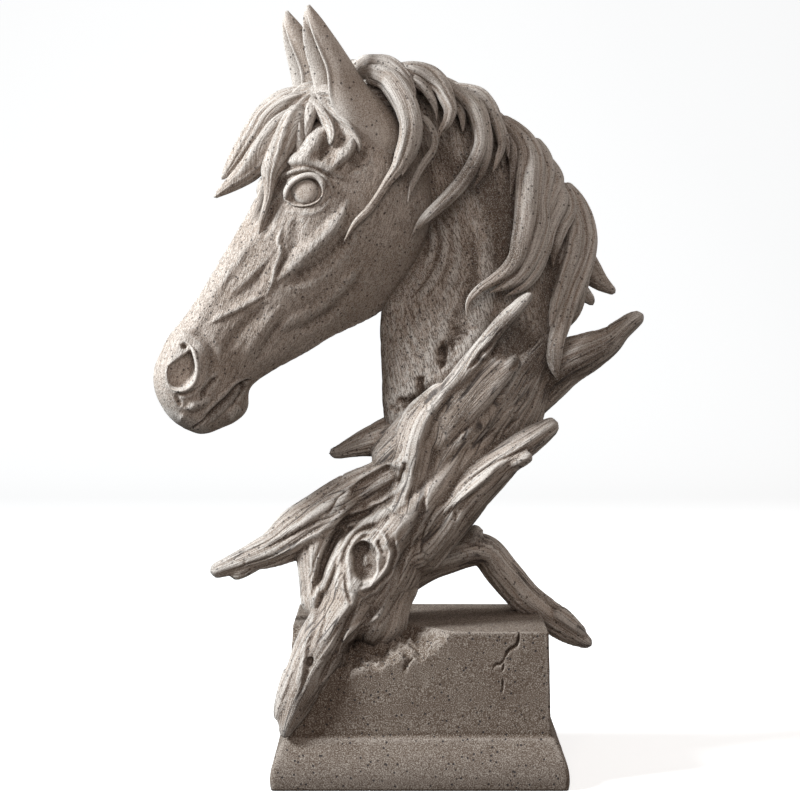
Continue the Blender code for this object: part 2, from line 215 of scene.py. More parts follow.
def lattice_noise(points: Array, seed: int) -> Array:
    """Smooth noise from -1 to 1 with one bump to each unit cell.

    Every corner of the unit lattice has a random value, and a point takes the smooth-stepped mean of the eight
    corners round it.

    Args:
        points: places, in cells.
        seed: picks another pattern.

    Returns:
        One value for each point.
    """
    def value(x: Array, y: Array, z: Array) -> Array:
        """A scrambled number for each corner of the lattice."""
        key = (x * HASH_AXES[0]) ^ (y * HASH_AXES[1]) ^ (z * HASH_AXES[2]) ^ (seed * HASH_SEED)
        for shift, factor in HASH_MIXES:
            key = ((key ^ (key >> shift)) * factor) & (HASH_WORD - 1)
        return key / (0.5 * HASH_WORD) - 1.0

    cell = np.floor(points).astype(np.int64)
    return corner_mean(cell, smooth_step(points - cell), value)


def ridged_noise(points: Array, seed: int, octaves: int = 1) -> Array:
    """Noise with round crests and sharp valleys, about -1 to 1: twice the size of each octave's noise, less one."""
    total = np.zeros(points.shape[:-1])
    weight_sum = 0.0
    for octave in range(octaves):
        weight = OCTAVE_SHARE**octave
        total += weight * (2.0 * np.sqrt(np.abs(lattice_noise(points * 2.0**octave, seed + octave))) - 1.0)
        weight_sum += weight
    return total / weight_sum


# ----------------------------------------
# Relief


@dataclass(frozen=True)
class Stroke:
    """A ridge, groove or hollow drawn over a surface in two coordinates, in millimetres."""

    path: Rows
    left: float
    right: float
    height: float
    profile: Profile = ROUND
    taper: float = 0.22

    def heights(self, places: Array) -> Array:
        """How far the stroke lifts each place.

        With u the distance from the path over the width on that side, a round stroke is (1 - u^2)^2, a crease
        (1 - u)^2, a bowl 1 - u^4 and a dish 1 - u^2. Widths and height fall off towards both ends of the path,
        over the share of it that taper gives.

        Args:
            places: (n, 2) coordinates of the surface.

        Returns:
            (n,) heights in millimetres.
        """
        line = smooth_rows(self.path, 4)
        reach = max(self.left, self.right)
        near = np.all((places > line.min(0) - reach) & (places < line.max(0) + reach), axis=1)
        lift = np.zeros(len(places))
        if not near.any():
            return lift
        start, step = line[:-1], np.diff(line, axis=0)
        length = np.maximum(step_lengths(line), TINY)
        gap = places[near][:, None] - start
        share = np.clip(np.sum(gap * step, axis=2) / length**2, 0.0, 1.0)
        gap -= share[..., None] * step
        distance = np.linalg.norm(gap, axis=2)
        best = np.argmin(distance, axis=1)
        rows = np.arange(len(best))
        cross = step[best, 0] * gap[rows, best, 1] - step[best, 1] * gap[rows, best, 0]
        run = (running_sum(length)[best] + share[rows, best] * length[best]) / length.sum()
        fade = end_fade(run, self.taper) if self.taper > 0.0 else np.ones(len(best))
        width = np.where(cross > 0.0, self.left, self.right) * (TIP_WIDTH + (1.0 - TIP_WIDTH) * fade)
        u = np.clip(distance[rows, best] / width, 0.0, 1.0)
        lift[near] = self.height * (TIP_HEIGHT + (1.0 - TIP_HEIGHT) * fade) * self.profile.shape(u)
        return lift


def relief(places: Array, strokes: Iterable[Stroke]) -> Array:
    """The summed lift of several strokes at each place."""
    return sum((stroke.heights(places) for stroke in strokes), np.zeros(len(places)))


# ----------------------------------------
# Surfaces and meshes


@dataclass
class Surface:
    """Points, faces and grain coordinates of a closed surface, in millimetres in the row frame."""

    points: Array
    quads: Array
    triangles: Array
    grain: Array

    @staticmethod
    def joined(parts: Sequence["Surface"]) -> "Surface":
        """Several closed surfaces as one."""
        starts = np.concatenate([[0], np.cumsum([len(part.points) for part in parts])[:-1]])
        return Surface(
            np.vstack([part.points for part in parts]),
            np.vstack([part.quads + start for part, start in zip(parts, starts)]),
            np.vstack([part.triangles + start for part, start in zip(parts, starts)]),
            np.vstack([part.grain for part in parts]),
        )


def outward_normals(rings: Array) -> Array:
    """Unit normals of a tube of rings: along the tube crossed with round the ring, turned to point outwards."""
    round_step = np.roll(rings, -1, axis=1) - np.roll(rings, 1, axis=1)
    along_step = np.gradient(rings, axis=0)
    normal = unit(np.cross(along_step, round_step))
    outward = rings - rings.mean(axis=1, keepdims=True)
    return normal if np.sum(normal * outward) > 0.0 else -normal


def tube(rings: Array, grain: Array, closed: bool = False) -> Surface:
    """A closed surface through rings of equal length.

    Args:
        rings: (count, around, 3) points in the row frame.
        grain: (count, around, 3) coordinates that the fine grain follows.
        closed: whether the last ring joins the first; otherwise each end has a pole.

    Returns:
        The surface, faces outward.
    """
    index = np.arange(rings[..., 0].size).reshape(rings.shape[:2])
    beside, ahead = np.roll(index, -1, axis=1), np.roll(index, -1, axis=0)
    quads = np.stack([index, beside, np.roll(beside, -1, axis=0), ahead], axis=-1)
    points, flow = rings.reshape(-1, 3), grain.reshape(-1, 3)
    triangles = np.zeros((0, 3), int)
    if not closed:
        quads = quads[:-1]
        triangles = np.vstack([pack(index.size, beside[0], index[0]), pack(index.size + 1, index[-1], beside[-1])])
        points, flow = (np.vstack([part.reshape(-1, 3), part[0].mean(0), part[-1].mean(0)]) for part in (rings, grain))
    quads = quads.reshape(-1, 4)
    middle = points.mean(0)
    a, b, c, d = (points[quads[:, k]] - middle for k in range(4))
    if np.sum(a * np.cross(b, c)) + np.sum(a * np.cross(c, d)) < 0.0:
        quads, triangles = quads[:, ::-1], triangles[:, ::-1]
    return Surface(points, quads, triangles, flow)


def strands(winding: Array) -> Array:
    """Round strands with sharp grooves between them: |cos|^0.7, less 0.62 to keep the girth."""
    return np.abs(np.cos(winding)) ** 0.7 - 0.62


def path_frames(path: Array, outward: Array) -> tuple[Array, Array, Array]:
    """Heading, depth and width directions along a path.

    Args:
        path: (n, 3) points.
        outward: a direction, or one for each point, that depth leans to.

    Returns:
        Three (n, 3) arrays of unit vectors, square to each other.
    """
    heading = unit(np.gradient(path, axis=0))
    lean = np.broadcast_to(outward, path.shape)
    deep = unit(lean - heading * np.sum(lean * heading, axis=1, keepdims=True))
    return heading, deep, np.cross(heading, deep)


def rings_round(path: Array, wide: Array, deep: Array, across: Array, through: Array) -> Array:
    """Rings round a path, from (n, around) offsets along its width and depth directions."""
    return path[:, None] + across[..., None] * wide[:, None] + through[..., None] * deep[:, None]


def round_ends(run: Array, first: float, last: float) -> Array:
    """How much of its girth a tube keeps near its ends: a quarter circle of each end's own radius.

    Args:
        run: distance from the start at each ring, in millimetres.
        first: radius at the start.
        last: radius at the end.

    Returns:
        One factor for each ring.
    """
    from_start = np.clip(run / max(first, 1e-3), 0.0, 1.0)
    from_end = np.clip((run[-1] - run) / max(last, 1e-3), 0.0, 1.0)
    return np.sqrt(1.0 - (1.0 - from_start) ** 2 + 1e-4) * np.sqrt(1.0 - (1.0 - from_end) ** 2 + 1e-4)


def new_object(name: str, data: bpy.types.ID) -> bpy.types.Object:
    """Puts data into the scene as an object at the origin."""
    made = bpy.data.objects.new(name, data)
    bpy.context.scene.collection.objects.link(made)
    return made


def read(items: bpy.types.bpy_prop_collection, name: str, width: int = 1, kind: type = np.float32) -> Array:
    """One property of all items, with as many columns as it has numbers."""
    flat = np.empty(len(items) * width, kind)
    items.foreach_get(name, flat)
    return flat.reshape(-1, width) if width > 1 else flat


def store(mesh: bpy.types.Mesh, name: str, values: Array) -> None:
    """Gives each vertex an attribute of one number or three."""
    kind, part = ("FLOAT", "value") if values.ndim == 1 else ("FLOAT_VECTOR", "vector")
    mesh.attributes.new(name, kind, "POINT").data.foreach_set(part, values.astype(np.float32).ravel())


def make_mesh(name: str, surface: Surface) -> bpy.types.Object:
    """Puts a surface into a new mesh object at the origin, in metres, with its grain as an attribute."""
    mesh = bpy.data.meshes.new(name)
    mesh.vertices.add(len(surface.points))
    mesh.vertices.foreach_set("co", (surface.points * MM).astype(np.float32).ravel())
    corners = np.concatenate([surface.quads.ravel(), surface.triangles.ravel()]).astype(np.int32)
    sizes = np.concatenate([np.full(len(surface.quads), 4), np.full(len(surface.triangles), 3)])
    mesh.loops.add(len(corners))
    mesh.loops.foreach_set("vertex_index", corners)
    mesh.polygons.add(len(sizes))
    mesh.polygons.foreach_set("loop_start", (np.cumsum(sizes) - sizes).astype(np.int32))
    mesh.update(calc_edges=True)
    mesh.shade_smooth()
    store(mesh, "grain", surface.grain)
    return new_object(name, mesh)


def read_points(mesh: bpy.types.Mesh) -> Array:
    """The vertices of a mesh in millimetres."""
    return read(mesh.vertices, "co", 3).astype(float) / MM


def move_points(mesh: bpy.types.Mesh, points: Array) -> None:
    """Moves the vertices of a mesh to places in millimetres."""
    mesh.vertices.foreach_set("co", (points * MM).astype(np.float32).ravel())
    mesh.update()


def read_normals(mesh: bpy.types.Mesh) -> Array:
    """The vertex normals of a mesh."""
    return read(mesh.vertex_normals, "vector", 3).astype(float)


def neighbour_mean(values: Array, mesh: bpy.types.Mesh, rounds: int) -> Array:
    """Each vertex's value moved again and again half way to the mean of its neighbours."""
    count = len(values)
    edges = read(mesh.edges, "vertices", 2, np.int32)
    ends, others = edges.T.ravel(), edges[:, ::-1].T.ravel()
    share = 1.0 / np.maximum(np.bincount(ends, minlength=count), 1)
    moved = values.copy()
    for _ in range(rounds):
        for column in range(values.shape[1]):
            mean = np.bincount(ends, weights=moved[others, column], minlength=count) * share
            moved[:, column] = 0.5 * (moved[:, column] + mean)
    return moved


# ----------------------------------------
# Shader nodes


Link = Union["Socket", float]


class Nodes:
    """A material, and what adds nodes to it."""

    def __init__(self, name: str) -> None:
        """Starts a material with an empty node tree."""
        self.material = bpy.data.materials.new(name)
        self.material.use_nodes = True
        self.tree = self.material.node_tree
        self.tree.nodes.clear()

    def add(self, kind: str, settings: dict | None = None, **inputs: object) -> bpy.types.Node:
        """Adds a node, sets its settings first, then fills its sockets.

        Args:
            kind: the node's type name.
            settings: properties such as an operation.
            inputs: values or links; a socket is named by its label with underscores, or i0, i1 by its place.

        Returns:
            The node.
        """
        node = self.tree.nodes.new(kind)
        for name, value in (settings or {}).items():
            setattr(node, name, value)
        for name, value in inputs.items():
            place = int(name[1:]) if name[0] == "i" and name[1:].isdigit() else name.replace("_", " ")
            self._fill(node.inputs[place], value)
        return node

    def out(self, kind: str, socket: str | int = 0, settings: dict | None = None, **inputs: object) -> "Socket":
        """Adds a node and wraps one of its outputs."""
        return Socket(self, self.add(kind, settings, **inputs).outputs[socket])

    def _fill(self, target: bpy.types.NodeSocket, value: object) -> None:
        """Links a wrapped socket, or sets a plain value."""
        if isinstance(value, Socket):
            self.tree.links.new(value.socket, target)
        else:
            target.default_value = value

    def attribute(self, name: str, socket: str = "Fac") -> "Socket":
        """Reads an attribute of the surface."""
        return self.out("ShaderNodeAttribute", socket, {"attribute_name": name})

    def noise(self, place: "Socket", scale: float, detail: float = 1.0, roughness: float = 0.5) -> "Socket":
        """Noise between 0 and 1."""
        return self.out("ShaderNodeTexNoise", "Fac", Vector=place, Scale=scale, Detail=detail, Roughness=roughness)

    def stretch(self, place: "Socket", factors: Sequence[float]) -> "Socket":
        """Coordinates multiplied axis by axis."""
        return self.out("ShaderNodeVectorMath", 0, {"operation": "MULTIPLY"}, i0=place, i1=factors)

    def mix(self, share: "Socket", first: object, second: object) -> "Socket":
        """Mixes two colours; plain ones are given as red, green and blue."""
        first = first if isinstance(first, Socket) else (*first, 1.0)
        second = second if isinstance(second, Socket) else (*second, 1.0)
        return self.out("ShaderNodeMix", 2, {"data_type": "RGBA"}, i0=share, i6=first, i7=second)

    def surfaced(self, **inputs: object) -> bpy.types.Material:
        """The material, finished with a principled shader that has these inputs."""
        shader = self.out("ShaderNodeBsdfPrincipled", **inputs)
        self.add("ShaderNodeOutputMaterial", Surface=shader)
        return self.material


class Socket:
    """A number that a node gives, with the operators that shader maths uses."""

    def __init__(self, nodes: Nodes, socket: bpy.types.NodeSocket) -> None:
        """Wraps an output socket."""
        self.nodes = nodes
        self.socket = socket

    def _math(self, operation: str, first: Link, second: Link = 0.0, clamp: bool = False) -> "Socket":
        """Adds a Math node."""
        return self.nodes.out("ShaderNodeMath", 0, {"operation": operation, "use_clamp": clamp}, i0=first, i1=second)

    def __add__(self, other: Link) -> "Socket":
        """Sum."""
        return self._math("ADD", self, other)

    __radd__ = __add__

    def __mul__(self, other: Link) -> "Socket":
        """Product."""
        return self._math("MULTIPLY", self, other)

    __rmul__ = __mul__

    def __sub__(self, other: Link) -> "Socket":
        """Difference."""
        return self._math("SUBTRACT", self, other)

    def __rsub__(self, other: Link) -> "Socket":
        """Difference, the other way round."""
        return self._math("SUBTRACT", other, self)

    def clamp(self) -> "Socket":
        """Held between 0 and 1."""
        return self._math("ADD", self, 0.0, True)

    def between(self, low: float, high: float) -> "Socket":
        """0 below low, 1 above high, with a smooth step between."""
        settings = {"interpolation_type": "SMOOTHSTEP"}
        return self.nodes.out("ShaderNodeMapRange", 0, settings, Value=self, From_Min=low, From_Max=high)

    def near_half(self, sharpness: float) -> "Socket":
        """One less the sharpness times the squared distance from a half, held between 0 and 1."""
        return (1.0 - (self - 0.5) * (self - 0.5) * sharpness).clamp()


@dataclass(frozen=True)
class CastStone:
    """Ground stone in resin: warm grey body, dark and light grains, umber in the hollows that is partly patina and
    partly painted shade, and crests made lighter partly by wear and partly by a painted highlight.

    The patina_and_shade attribute is 0.5 on plain places, 1 deep in hollows and 0 on sharp crests; the painted_shade
    attribute is painted occlusion shade, 1 where other pieces lie close over a place, with painted shadows and, below
    zero, painted highlights added. The grain attribute holds coordinates in millimetres that follow hair or wood.
    """

    body: Triple = (0.480, 0.405, 0.350)
    body_warm: Triple = (0.395, 0.318, 0.262)
    # umber: the colour of grain lines and pepper, and of the shade painted into hollows
    umber: Triple = (0.085, 0.056, 0.038)
    # lighter colour for sharp crests: partly wear, partly a painted highlight
    worn_and_highlight: Triple = (0.66, 0.62, 0.575)
    dark_grain: Triple = (0.050, 0.042, 0.040)
    light_grain: Triple = (0.70, 0.66, 0.61)
    roughness: float = 0.90
    gloss: float = 0.22
    bump_height: float = 0.5
    grain_size: float = 0.85
    patches_per_metre: float = 34.0
    speckle_share: float = 0.40
    dark_share: float = 0.75
    # share of that lighter colour on crests, partly wear and partly a painted highlight
    worn_and_highlight_share: float = 0.55
    # share of umber in hollows, which is partly patina and partly painted shade
    patina_and_shade_share: float = 0.75
    streak_depth: float = 0.35
    streak_per_mm: Triple = (0.5, 0.5, 0.08)
    line_sharpness: float = 240.0
    check_per_mm: Triple = (0.17, 0.17, 0.011)
    check_sharpness: float = 1800.0
    check_share: float = 0.0

    def material(self, name: str) -> bpy.types.Material:
        """Builds the node material.

        Args:
            name: the material's name.

        Returns:
            The material.
        """
        nodes = Nodes(name)
        place = nodes.out("ShaderNodeTexCoord", "Object")
        patina_and_shade, painted_shade, grain = nodes.attribute("patina_and_shade"), nodes.attribute("painted_shade"), nodes.attribute("grain", "Vector")
        per_grain = 1.0 / (self.grain_size * MM)

        patches = nodes.noise(place, self.patches_per_metre, 4.0, 0.6)
        fine = nodes.noise(place, 1.3 * per_grain, 1.0, 0.6)
        medium = nodes.noise(place, 0.5 * per_grain)
        cells = nodes.out("ShaderNodeTexVoronoi", "Distance", Vector=place, Scale=0.22 * per_grain)
        kinds = nodes.noise(place, 0.16 * per_grain)
        streaks = nodes.noise(nodes.stretch(grain, self.streak_per_mm), 1.0, 1.5, 0.6)
        lines = streaks.near_half(self.line_sharpness)
        bands = nodes.noise(nodes.stretch(grain, self.check_per_mm), 1.0)
        checks = bands.near_half(self.check_sharpness) * patches.between(0.40, 0.55) * self.check_share

        specks = (1.0 - cells.between(0.14, 0.21)) * kinds.between(0.36, 0.42)
        pepper = (1.0 - fine.between(0.38, 0.47)) * self.speckle_share
        salt = fine.between(0.54, 0.64) * self.speckle_share
        # painted shade with some patina: umber where a point sinks below its neighbourhood and where other pieces lie
        # close, as occlusion would darken it
        hollow = (patina_and_shade.between(0.50, 0.98) + painted_shade * 0.55 + (patches - 0.5) * 0.30).clamp()
        crest = (0.5 - patina_and_shade).between(0.03, 0.40)

        tone = self.body
        for share, colour in (
            (patches.between(0.35, 0.68), self.body_warm),
            (medium.between(0.42, 0.62) * 0.35, self.body_warm),
            # painted highlight on crests, partly wear
            (crest * self.worn_and_highlight_share, self.worn_and_highlight),
            (lines * (self.streak_depth * 0.5), self.umber),
            # painted shade in hollows, partly patina
            (hollow * self.patina_and_shade_share, self.umber),
            (salt, self.light_grain),
            (pepper, self.umber),
            (specks * self.dark_share, self.dark_grain),
            (checks, self.dark_grain),
        ):
            tone = nodes.mix(share, tone, colour)

        height = fine * 0.6 + streaks * self.streak_depth - lines * (self.streak_depth * 0.7)
        height = height - specks * 0.6 - checks * 1.6
        bump = nodes.out("ShaderNodeBump", Strength=0.6, Distance=self.bump_height * MM, Height=height)
        return nodes.surfaced(Base_Color=tone, Roughness=self.roughness, Specular_IOR_Level=self.gloss, Normal=bump)


# ----------------------------------------
# Plinth


@dataclass
class Plinth:
    """A block with an S-shaped foot all round and a front edge that is broken away on the left."""

    half: Pair = (76.5, 54.0)
    top: float = 92.5
    batter: float = 1.5
    overhang: float = 10.5
    ledge: float = 1.3
    foot_top: float = 31.0
    fullest: float = 0.8
    edge: float = 1.0
    corner: float = 1.6
    # points along the front, right, back and left, and where along the front they lie closer, as x values
    counts: tuple[int, int, int, int] = (170, 36, 44, 36)
    closer: Pair = (40.0, 62.0)
    # rings on the underside, foot, side, rounded edge and top
    ring_counts: tuple[int, int, int, int, int] = (5, 20, 68, 4, 56)
    corner_steps: int = 6
    # the share of the top that its last ring leaves open, and how much closer rings lie to the edge
    hub: float = 0.03
    crowding: float = 1.15
    # x, the height of the break's lower edge on the front face, and the y where it meets the top
    broken_edge: Rows = (
        (-80, 74, -30), (-66, 70, -14), (-45, 66, -10), (-28, 69, -10), (-16, 74, -12), (-6, 77.5, -20),
        (3, 77.5, -34), (9, 80.5, -42), (15, 86.5, -48), (20, 91.5, -53), (24, 94, -56), (80, 94, -56),
    )
    cracks: tuple[Stroke, ...] = (
        Stroke(((59, 93), (58.3, 88), (57, 84.5), (52.5, 81.5), (49.5, 75.5)), 1.5, 1.2, -4.4, CREASE, 0.3),
        Stroke(((50.5, 76.5), (47.5, 73.5), (45.5, 73.3), (43, 71)), 1.2, 1, -3.2, CREASE, 0.3),
        Stroke(((50, 74), (49, 69.8), (48.3, 69)), 1.1, 1, -2.8, CREASE, 0.3),
        Stroke(((49.2, 65), (49, 56.5)), 1.1, 0.9, -2.8, CREASE, 0.3),
        Stroke(((-2, 79), (-6, 75.5), (-9, 71), (-9.5, 66)), 1.7, 1.2, -4, CREASE, 0.4),
    )

    def spread(self, count: int) -> Array:
        """Shares of the front from left to right, three times as close where it is cracked."""
        line = np.linspace(0.0, 1.0, 2001)
        x = (2.0 * line - 1.0) * self.half[0]
        weight = np.where((x > self.closer[0]) & (x < self.closer[1]), 3.0, 1.0)
        total = running_sum(0.5 * (weight[1:] + weight[:-1]))
        return np.interp(np.linspace(0.0, total[-1], count), total, line)

    def outline(self, half: Array, radius: Array) -> Array:
        """Rounded rectangles seen from above.

        Each corner is a quarter circle and each side a straight run.

        Args:
            half: (n, 2) half sizes.
            radius: (n,) corner radii.

        Returns:
            (n, around, 2) points, anticlockwise from the left end of the front.
        """
        arc = np.linspace(0.0, math.pi / 2.0, self.corner_steps)
        pieces = []
        inner = half - radius[:, None]
        corners = ((-1, -1), (1, -1), (1, 1), (-1, 1))
        shares = [self.spread(self.counts[0]), *(np.linspace(0.0, 1.0, count) for count in self.counts[1:])]
        for number, share in enumerate(shares):
            sign = np.array(corners[number], float)
            ahead = np.array(corners[(number + 1) % 4], float)
            centre = inner * sign
            turn = math.pi + number * math.pi / 2.0 + arc
            bend = centre[:, None] + radius[:, None, None] * pack(np.cos(turn), np.sin(turn))
            finish = inner * ahead + radius[:, None] * np.array([math.cos(turn[-1]), math.sin(turn[-1])])
            part = share[1:-1, None]
            pieces += [bend, bend[:, -1:, :] * (1.0 - part) + finish[:, None] * part]
        return np.concatenate(pieces, axis=1)

    def top_height(self, plan: Array) -> Array:
        """The height of the top: flat, or where the edge has broken a rough slope down to the front.

        The slope rises from the break's lower edge to the line where it meets the flat top, with rubble on it.

        Args:
            plan: (..., 2) places seen from above.

        Returns:
            Heights in millimetres.
        """
        table = smooth_rows(self.broken_edge, 12)
        x, y = plan[..., 0], plan[..., 1]
        low = np.interp(x, table[:, 0], table[:, 1])
        back = np.maximum(np.interp(x, table[:, 0], table[:, 2]), -self.half[1] + 0.5)
        rise = low + (self.top - low) * np.clip((y + self.half[1]) / (back + self.half[1]), 0.0, 1.0) ** 0.8
        flat = pack(x, y, 0.0)
        lumps = 2.6 * lattice_noise(flat / 11.0, 5) - 2.2 * ridged_noise(flat / 7.0, 6, 2)
        lumps = lumps - 1.3 * ridged_noise(flat / 2.8, 7)
        lumps = lumps + 0.9 * np.sin(1.4 * rise + 5.0 * lattice_noise(flat / 15.0, 4))
        share = smooth_step((self.top + 0.3 - rise) / 3.5)
        return np.minimum(self.top, rise + lumps * share)

    def rings(self) -> Array:
        """The surface as rounded rectangles from the middle of the underside up to the middle of the top."""
        under_count, foot_count, side_count, edge_count, top_count = self.ring_counts
        under = np.linspace(0.06, 1.0, under_count)[:-1]
        down = 1.0 - np.linspace(0.0, 1.0, foot_count)
        foot = self.ledge * (down > 0.0) + (self.overhang - self.ledge) * np.sin(0.5 * math.pi * down / self.fullest)
        side = np.linspace(0.0, 1.0, side_count)[1:]
        rounding = np.linspace(0.0, math.pi / 2.0, edge_count)[1:]
        inward = 1.0 - (1.0 - self.hub) * np.linspace(0.0, 1.0, top_count)[1:] ** self.crowding
        # for each ring: share of the way up the side, height it starts from, drop, growth and scale of the plan
        zones = (
            pack(0.0, 0.0, 0.0, self.batter + foot[0] - 0.8, under),
            pack(0.0, self.foot_top * (1.0 - down), 0.0, self.batter + foot, 1.0),
            pack(side, self.foot_top, self.edge * side, self.batter * (1.0 - side), 1.0),
            pack(1.0, self.foot_top, self.edge * (1.0 - np.sin(rounding)), -self.edge * (1.0 - np.cos(rounding)), 1.0),
            pack(1.0, self.foot_top, 0.0, -self.edge, inward),
        )
        share, base, drop, wider, scale = np.vstack(zones).T
        half = (np.array(self.half) + wider[:, None]) * scale[:, None]
        radius = np.minimum(self.corner + 0.12 * np.maximum(wider, 0.0), half.min(axis=1) * 0.5)
        flat = self.outline(half, radius)
        rim = self.top_height(flat)
        tall = base[:, None] + (rim - base[:, None]) * share[:, None] - drop[:, None]
        return np.concatenate([flat, tall[..., None]], axis=-1)

    def surface(self) -> Surface:
        """The finished surface with its break, cracks and small pits."""
        rings = self.rings()
        shape = rings.shape
        points = rings.reshape(-1, 3)
        normal = outward_normals(rings).reshape(-1, 3)
        lift = 0.12 * lattice_noise(points / 9.0, 8) + 0.05 * lattice_noise(points / 3.0, 9)
        front = points[:, 1] < -self.half[1] + 2.0
        lift[front] += relief(points[front][:, [0, 2]], self.cracks)
        lift[points[:, 2] < 0.01] = 0.0
        worn = points + normal * lift[:, None]
        worn[:, 2] = np.maximum(worn[:, 2], 0.0)
        return tube(worn.reshape(shape), worn.reshape(shape))


# ----------------------------------------
# Driftwood


# places on the near face of the wood, as x and z
WOOD_MARKS = (
    # the open hollow along the long branch, with its lip
    Stroke(((-9, 186), (-19, 180), (-31, 172.5), (-43, 165)), 8, 9.5, -6.5, BOWL, 0.2),
    Stroke(((-10, 176), (-20, 168), (-31, 161.5), (-42, 157), (-50, 152)), 3.4, 3, -5),
    Stroke(((-8.5, 193), (-9.5, 186), (-12, 179)), 2.6, 2.6, -4.5, taper=0.1),
    Stroke(((-46, 152), (-32, 156.5), (-21, 161.5), (-11, 168.5), (-6, 178)), 3, 4, 2.6),
    Stroke(((-44, 175), (-32, 183.5), (-19, 190.5), (-10, 196)), 2.2, 1.6, 1.4),
    Stroke(((-15, 187), (-26, 180), (-38, 172)), 1.2, 1.2, -1.6, CREASE),
    Stroke(((-14, 182), (-25, 175), (-37, 167)), 1.2, 1.2, -1.6, CREASE),
    Stroke(((-56, 161), (-49, 169.5), (-42, 176)), 1.4, 1.4, -3.2, CREASE),
    Stroke(((-84, 146), (-70, 156), (-56, 166), (-46, 171)), 2.6, 3.6, 1.8),
    Stroke(((-96, 137), (-80, 146), (-64, 155), (-52, 160)), 1.6, 1.6, -2, CREASE),
    Stroke(((-90, 134), (-74, 141), (-60, 150), (-47, 160), (-40, 168)), 3, 4.5, 2),
    # the knot: a bowl with a cone in it, two rims and a ring outside them
    Stroke(((-33, 137.5), (-32.5, 129.5)), 7.4, 7.4, -12, BOWL, 0),
    Stroke(((-31.5, 134), (-31, 131.5)), 3.2, 3.2, 2.6, taper=0),
    Stroke(((-24.5, 145), (-22.5, 138.5)), 1.7, 1.7, -4.5, CREASE, 0),
    Stroke(((-28, 152), (-21, 149), (-17.5, 139), (-20.5, 128), (-29, 119.5), (-37, 117)), 1.9, 2.8, 3.2, taper=0.2),
    Stroke(((-27, 151), (-35.5, 148.5), (-41.5, 141), (-42.6, 132), (-40.5, 120)), 2.2, 1.7, 3, taper=0.2),
    Stroke(((-24, 157), (-34, 153.5), (-42, 147.5), (-47, 138), (-48.5, 126), (-51, 113)), 2.4, 2.4, 2.2),
    Stroke(((-22, 154), (-31.5, 151.8), (-39, 146.5), (-44.5, 138)), 1.2, 1.2, -2.4, CREASE),
    Stroke(((-14, 151), (-12.5, 138), (-16, 126), (-27, 115), (-36, 111)), 2, 2.2, 1.6),
    Stroke(((-15.5, 149), (-14.8, 138), (-18, 127), (-28, 117)), 1.1, 1.1, -2.2, CREASE),
    Stroke(((-45, 127), (-43.5, 117), (-41, 107)), 2, 2, -3.4, CREASE),
    # the valley between the branch and the corner root
    Stroke(((-38, 165), (-44, 157), (-49, 148), (-54, 138), (-59, 126), (-64, 113)), 3.6, 4.4, -6),
    Stroke(((-56, 152), (-60, 140), (-64, 128), (-67, 117)), 1.2, 1.2, -2, CREASE),
    # the corner root: its crest, grooves, holes and the ridge beside it
    Stroke(((-46, 152), (-50, 139), (-55, 123), (-62, 110), (-65, 96), (-68, 84), (-70, 70), (-73, 55)), 3.4, 4.6, 3.2),
    Stroke(((-36, 112), (-41, 101), (-47, 87), (-54, 74), (-60, 60)), 2.4, 3.2, -4.2),
    Stroke(((-18, 120), (-21, 108), (-25, 101), (-34, 96), (-42, 91), (-48, 84), (-56, 68)), 3, 3.4, 2.6),
    Stroke(((-56, 108), (-57, 98), (-60, 88)), 1.6, 1.6, -2, CREASE),
    Stroke(((-64.5, 76.5), (-65, 75)), 1.7, 1.7, -4.5, BOWL, 0),
    Stroke(((-65.5, 74), (-67.5, 67), (-70, 59)), 1, 1, -2.2, CREASE, 0.4),
    Stroke(((-44, 92), (-51, 78), (-57, 65)), 1.5, 1.5, -4, CREASE, 0.3),
    Stroke(((-56, 62), (-62, 50), (-68, 38)), 1.2, 1.2, -2, CREASE),
    Stroke(((-74, 72), (-78, 60), (-82, 50)), 1.2, 1.2, -1.8, CREASE),
    Stroke(((-42, 80), (-34, 78)), 8, 8, -7.5, taper=0),
    Stroke(((-16, 120), (-24, 106), (-33, 97), (-40, 90)), 1.4, 1.4, -2.4, CREASE),
    Stroke(((-10, 116), (-17, 103), (-26, 93)), 1.3, 1.3, -2, CREASE),
    # the trunk: ridge between its lit and shaded planes, and cracks along the grain
    Stroke(((30, 252), (19, 240), (11, 229), (4.7, 219), (0, 207), (-2.4, 195), (-6, 180), (-10, 168)), 4.5, 7.5, 2),
    Stroke(((72, 245), (67, 240.5), (61, 235.5)), 1.1, 1.1, -2.8, CREASE, 0.35),
    Stroke(((47.5, 213.5), (40.5, 208), (33.5, 202)), 1.3, 1.3, -4.2, CREASE, 0.35),
    Stroke(((61, 217.5), (56, 214.5), (50.5, 210)), 1.2, 1.2, -3.6, CREASE, 0.35),
    Stroke(((66, 232), (56, 225), (46, 218)), 1.1, 1.1, -2.2, CREASE),
    Stroke(((36, 220), (26, 211), (17, 201)), 1.1, 1.1, -2, CREASE),
    # the gap beside the spike
    Stroke(((44, 265), (36, 256), (29, 248)), 2, 2, -4),
    # the valley from the trunk down to the knot, and the ridge of the lower right branch
    Stroke(((4, 176), (2, 165), (-1, 156), (-6, 146), (-10, 135), (-12, 120)), 3, 3.6, -3.4),
    Stroke(((11, 168), (5, 158), (2, 146), (0, 134)), 1.3, 1.3, -2.4, CREASE),
    Stroke(((50, 194), (40, 184), (28, 174), (14, 163), (4, 149), (-2, 138)), 3, 5, 2.6),
    Stroke(((70, 203), (56, 197), (40, 189), (24, 178)), 1.3, 1.3, -2.4, CREASE),
)


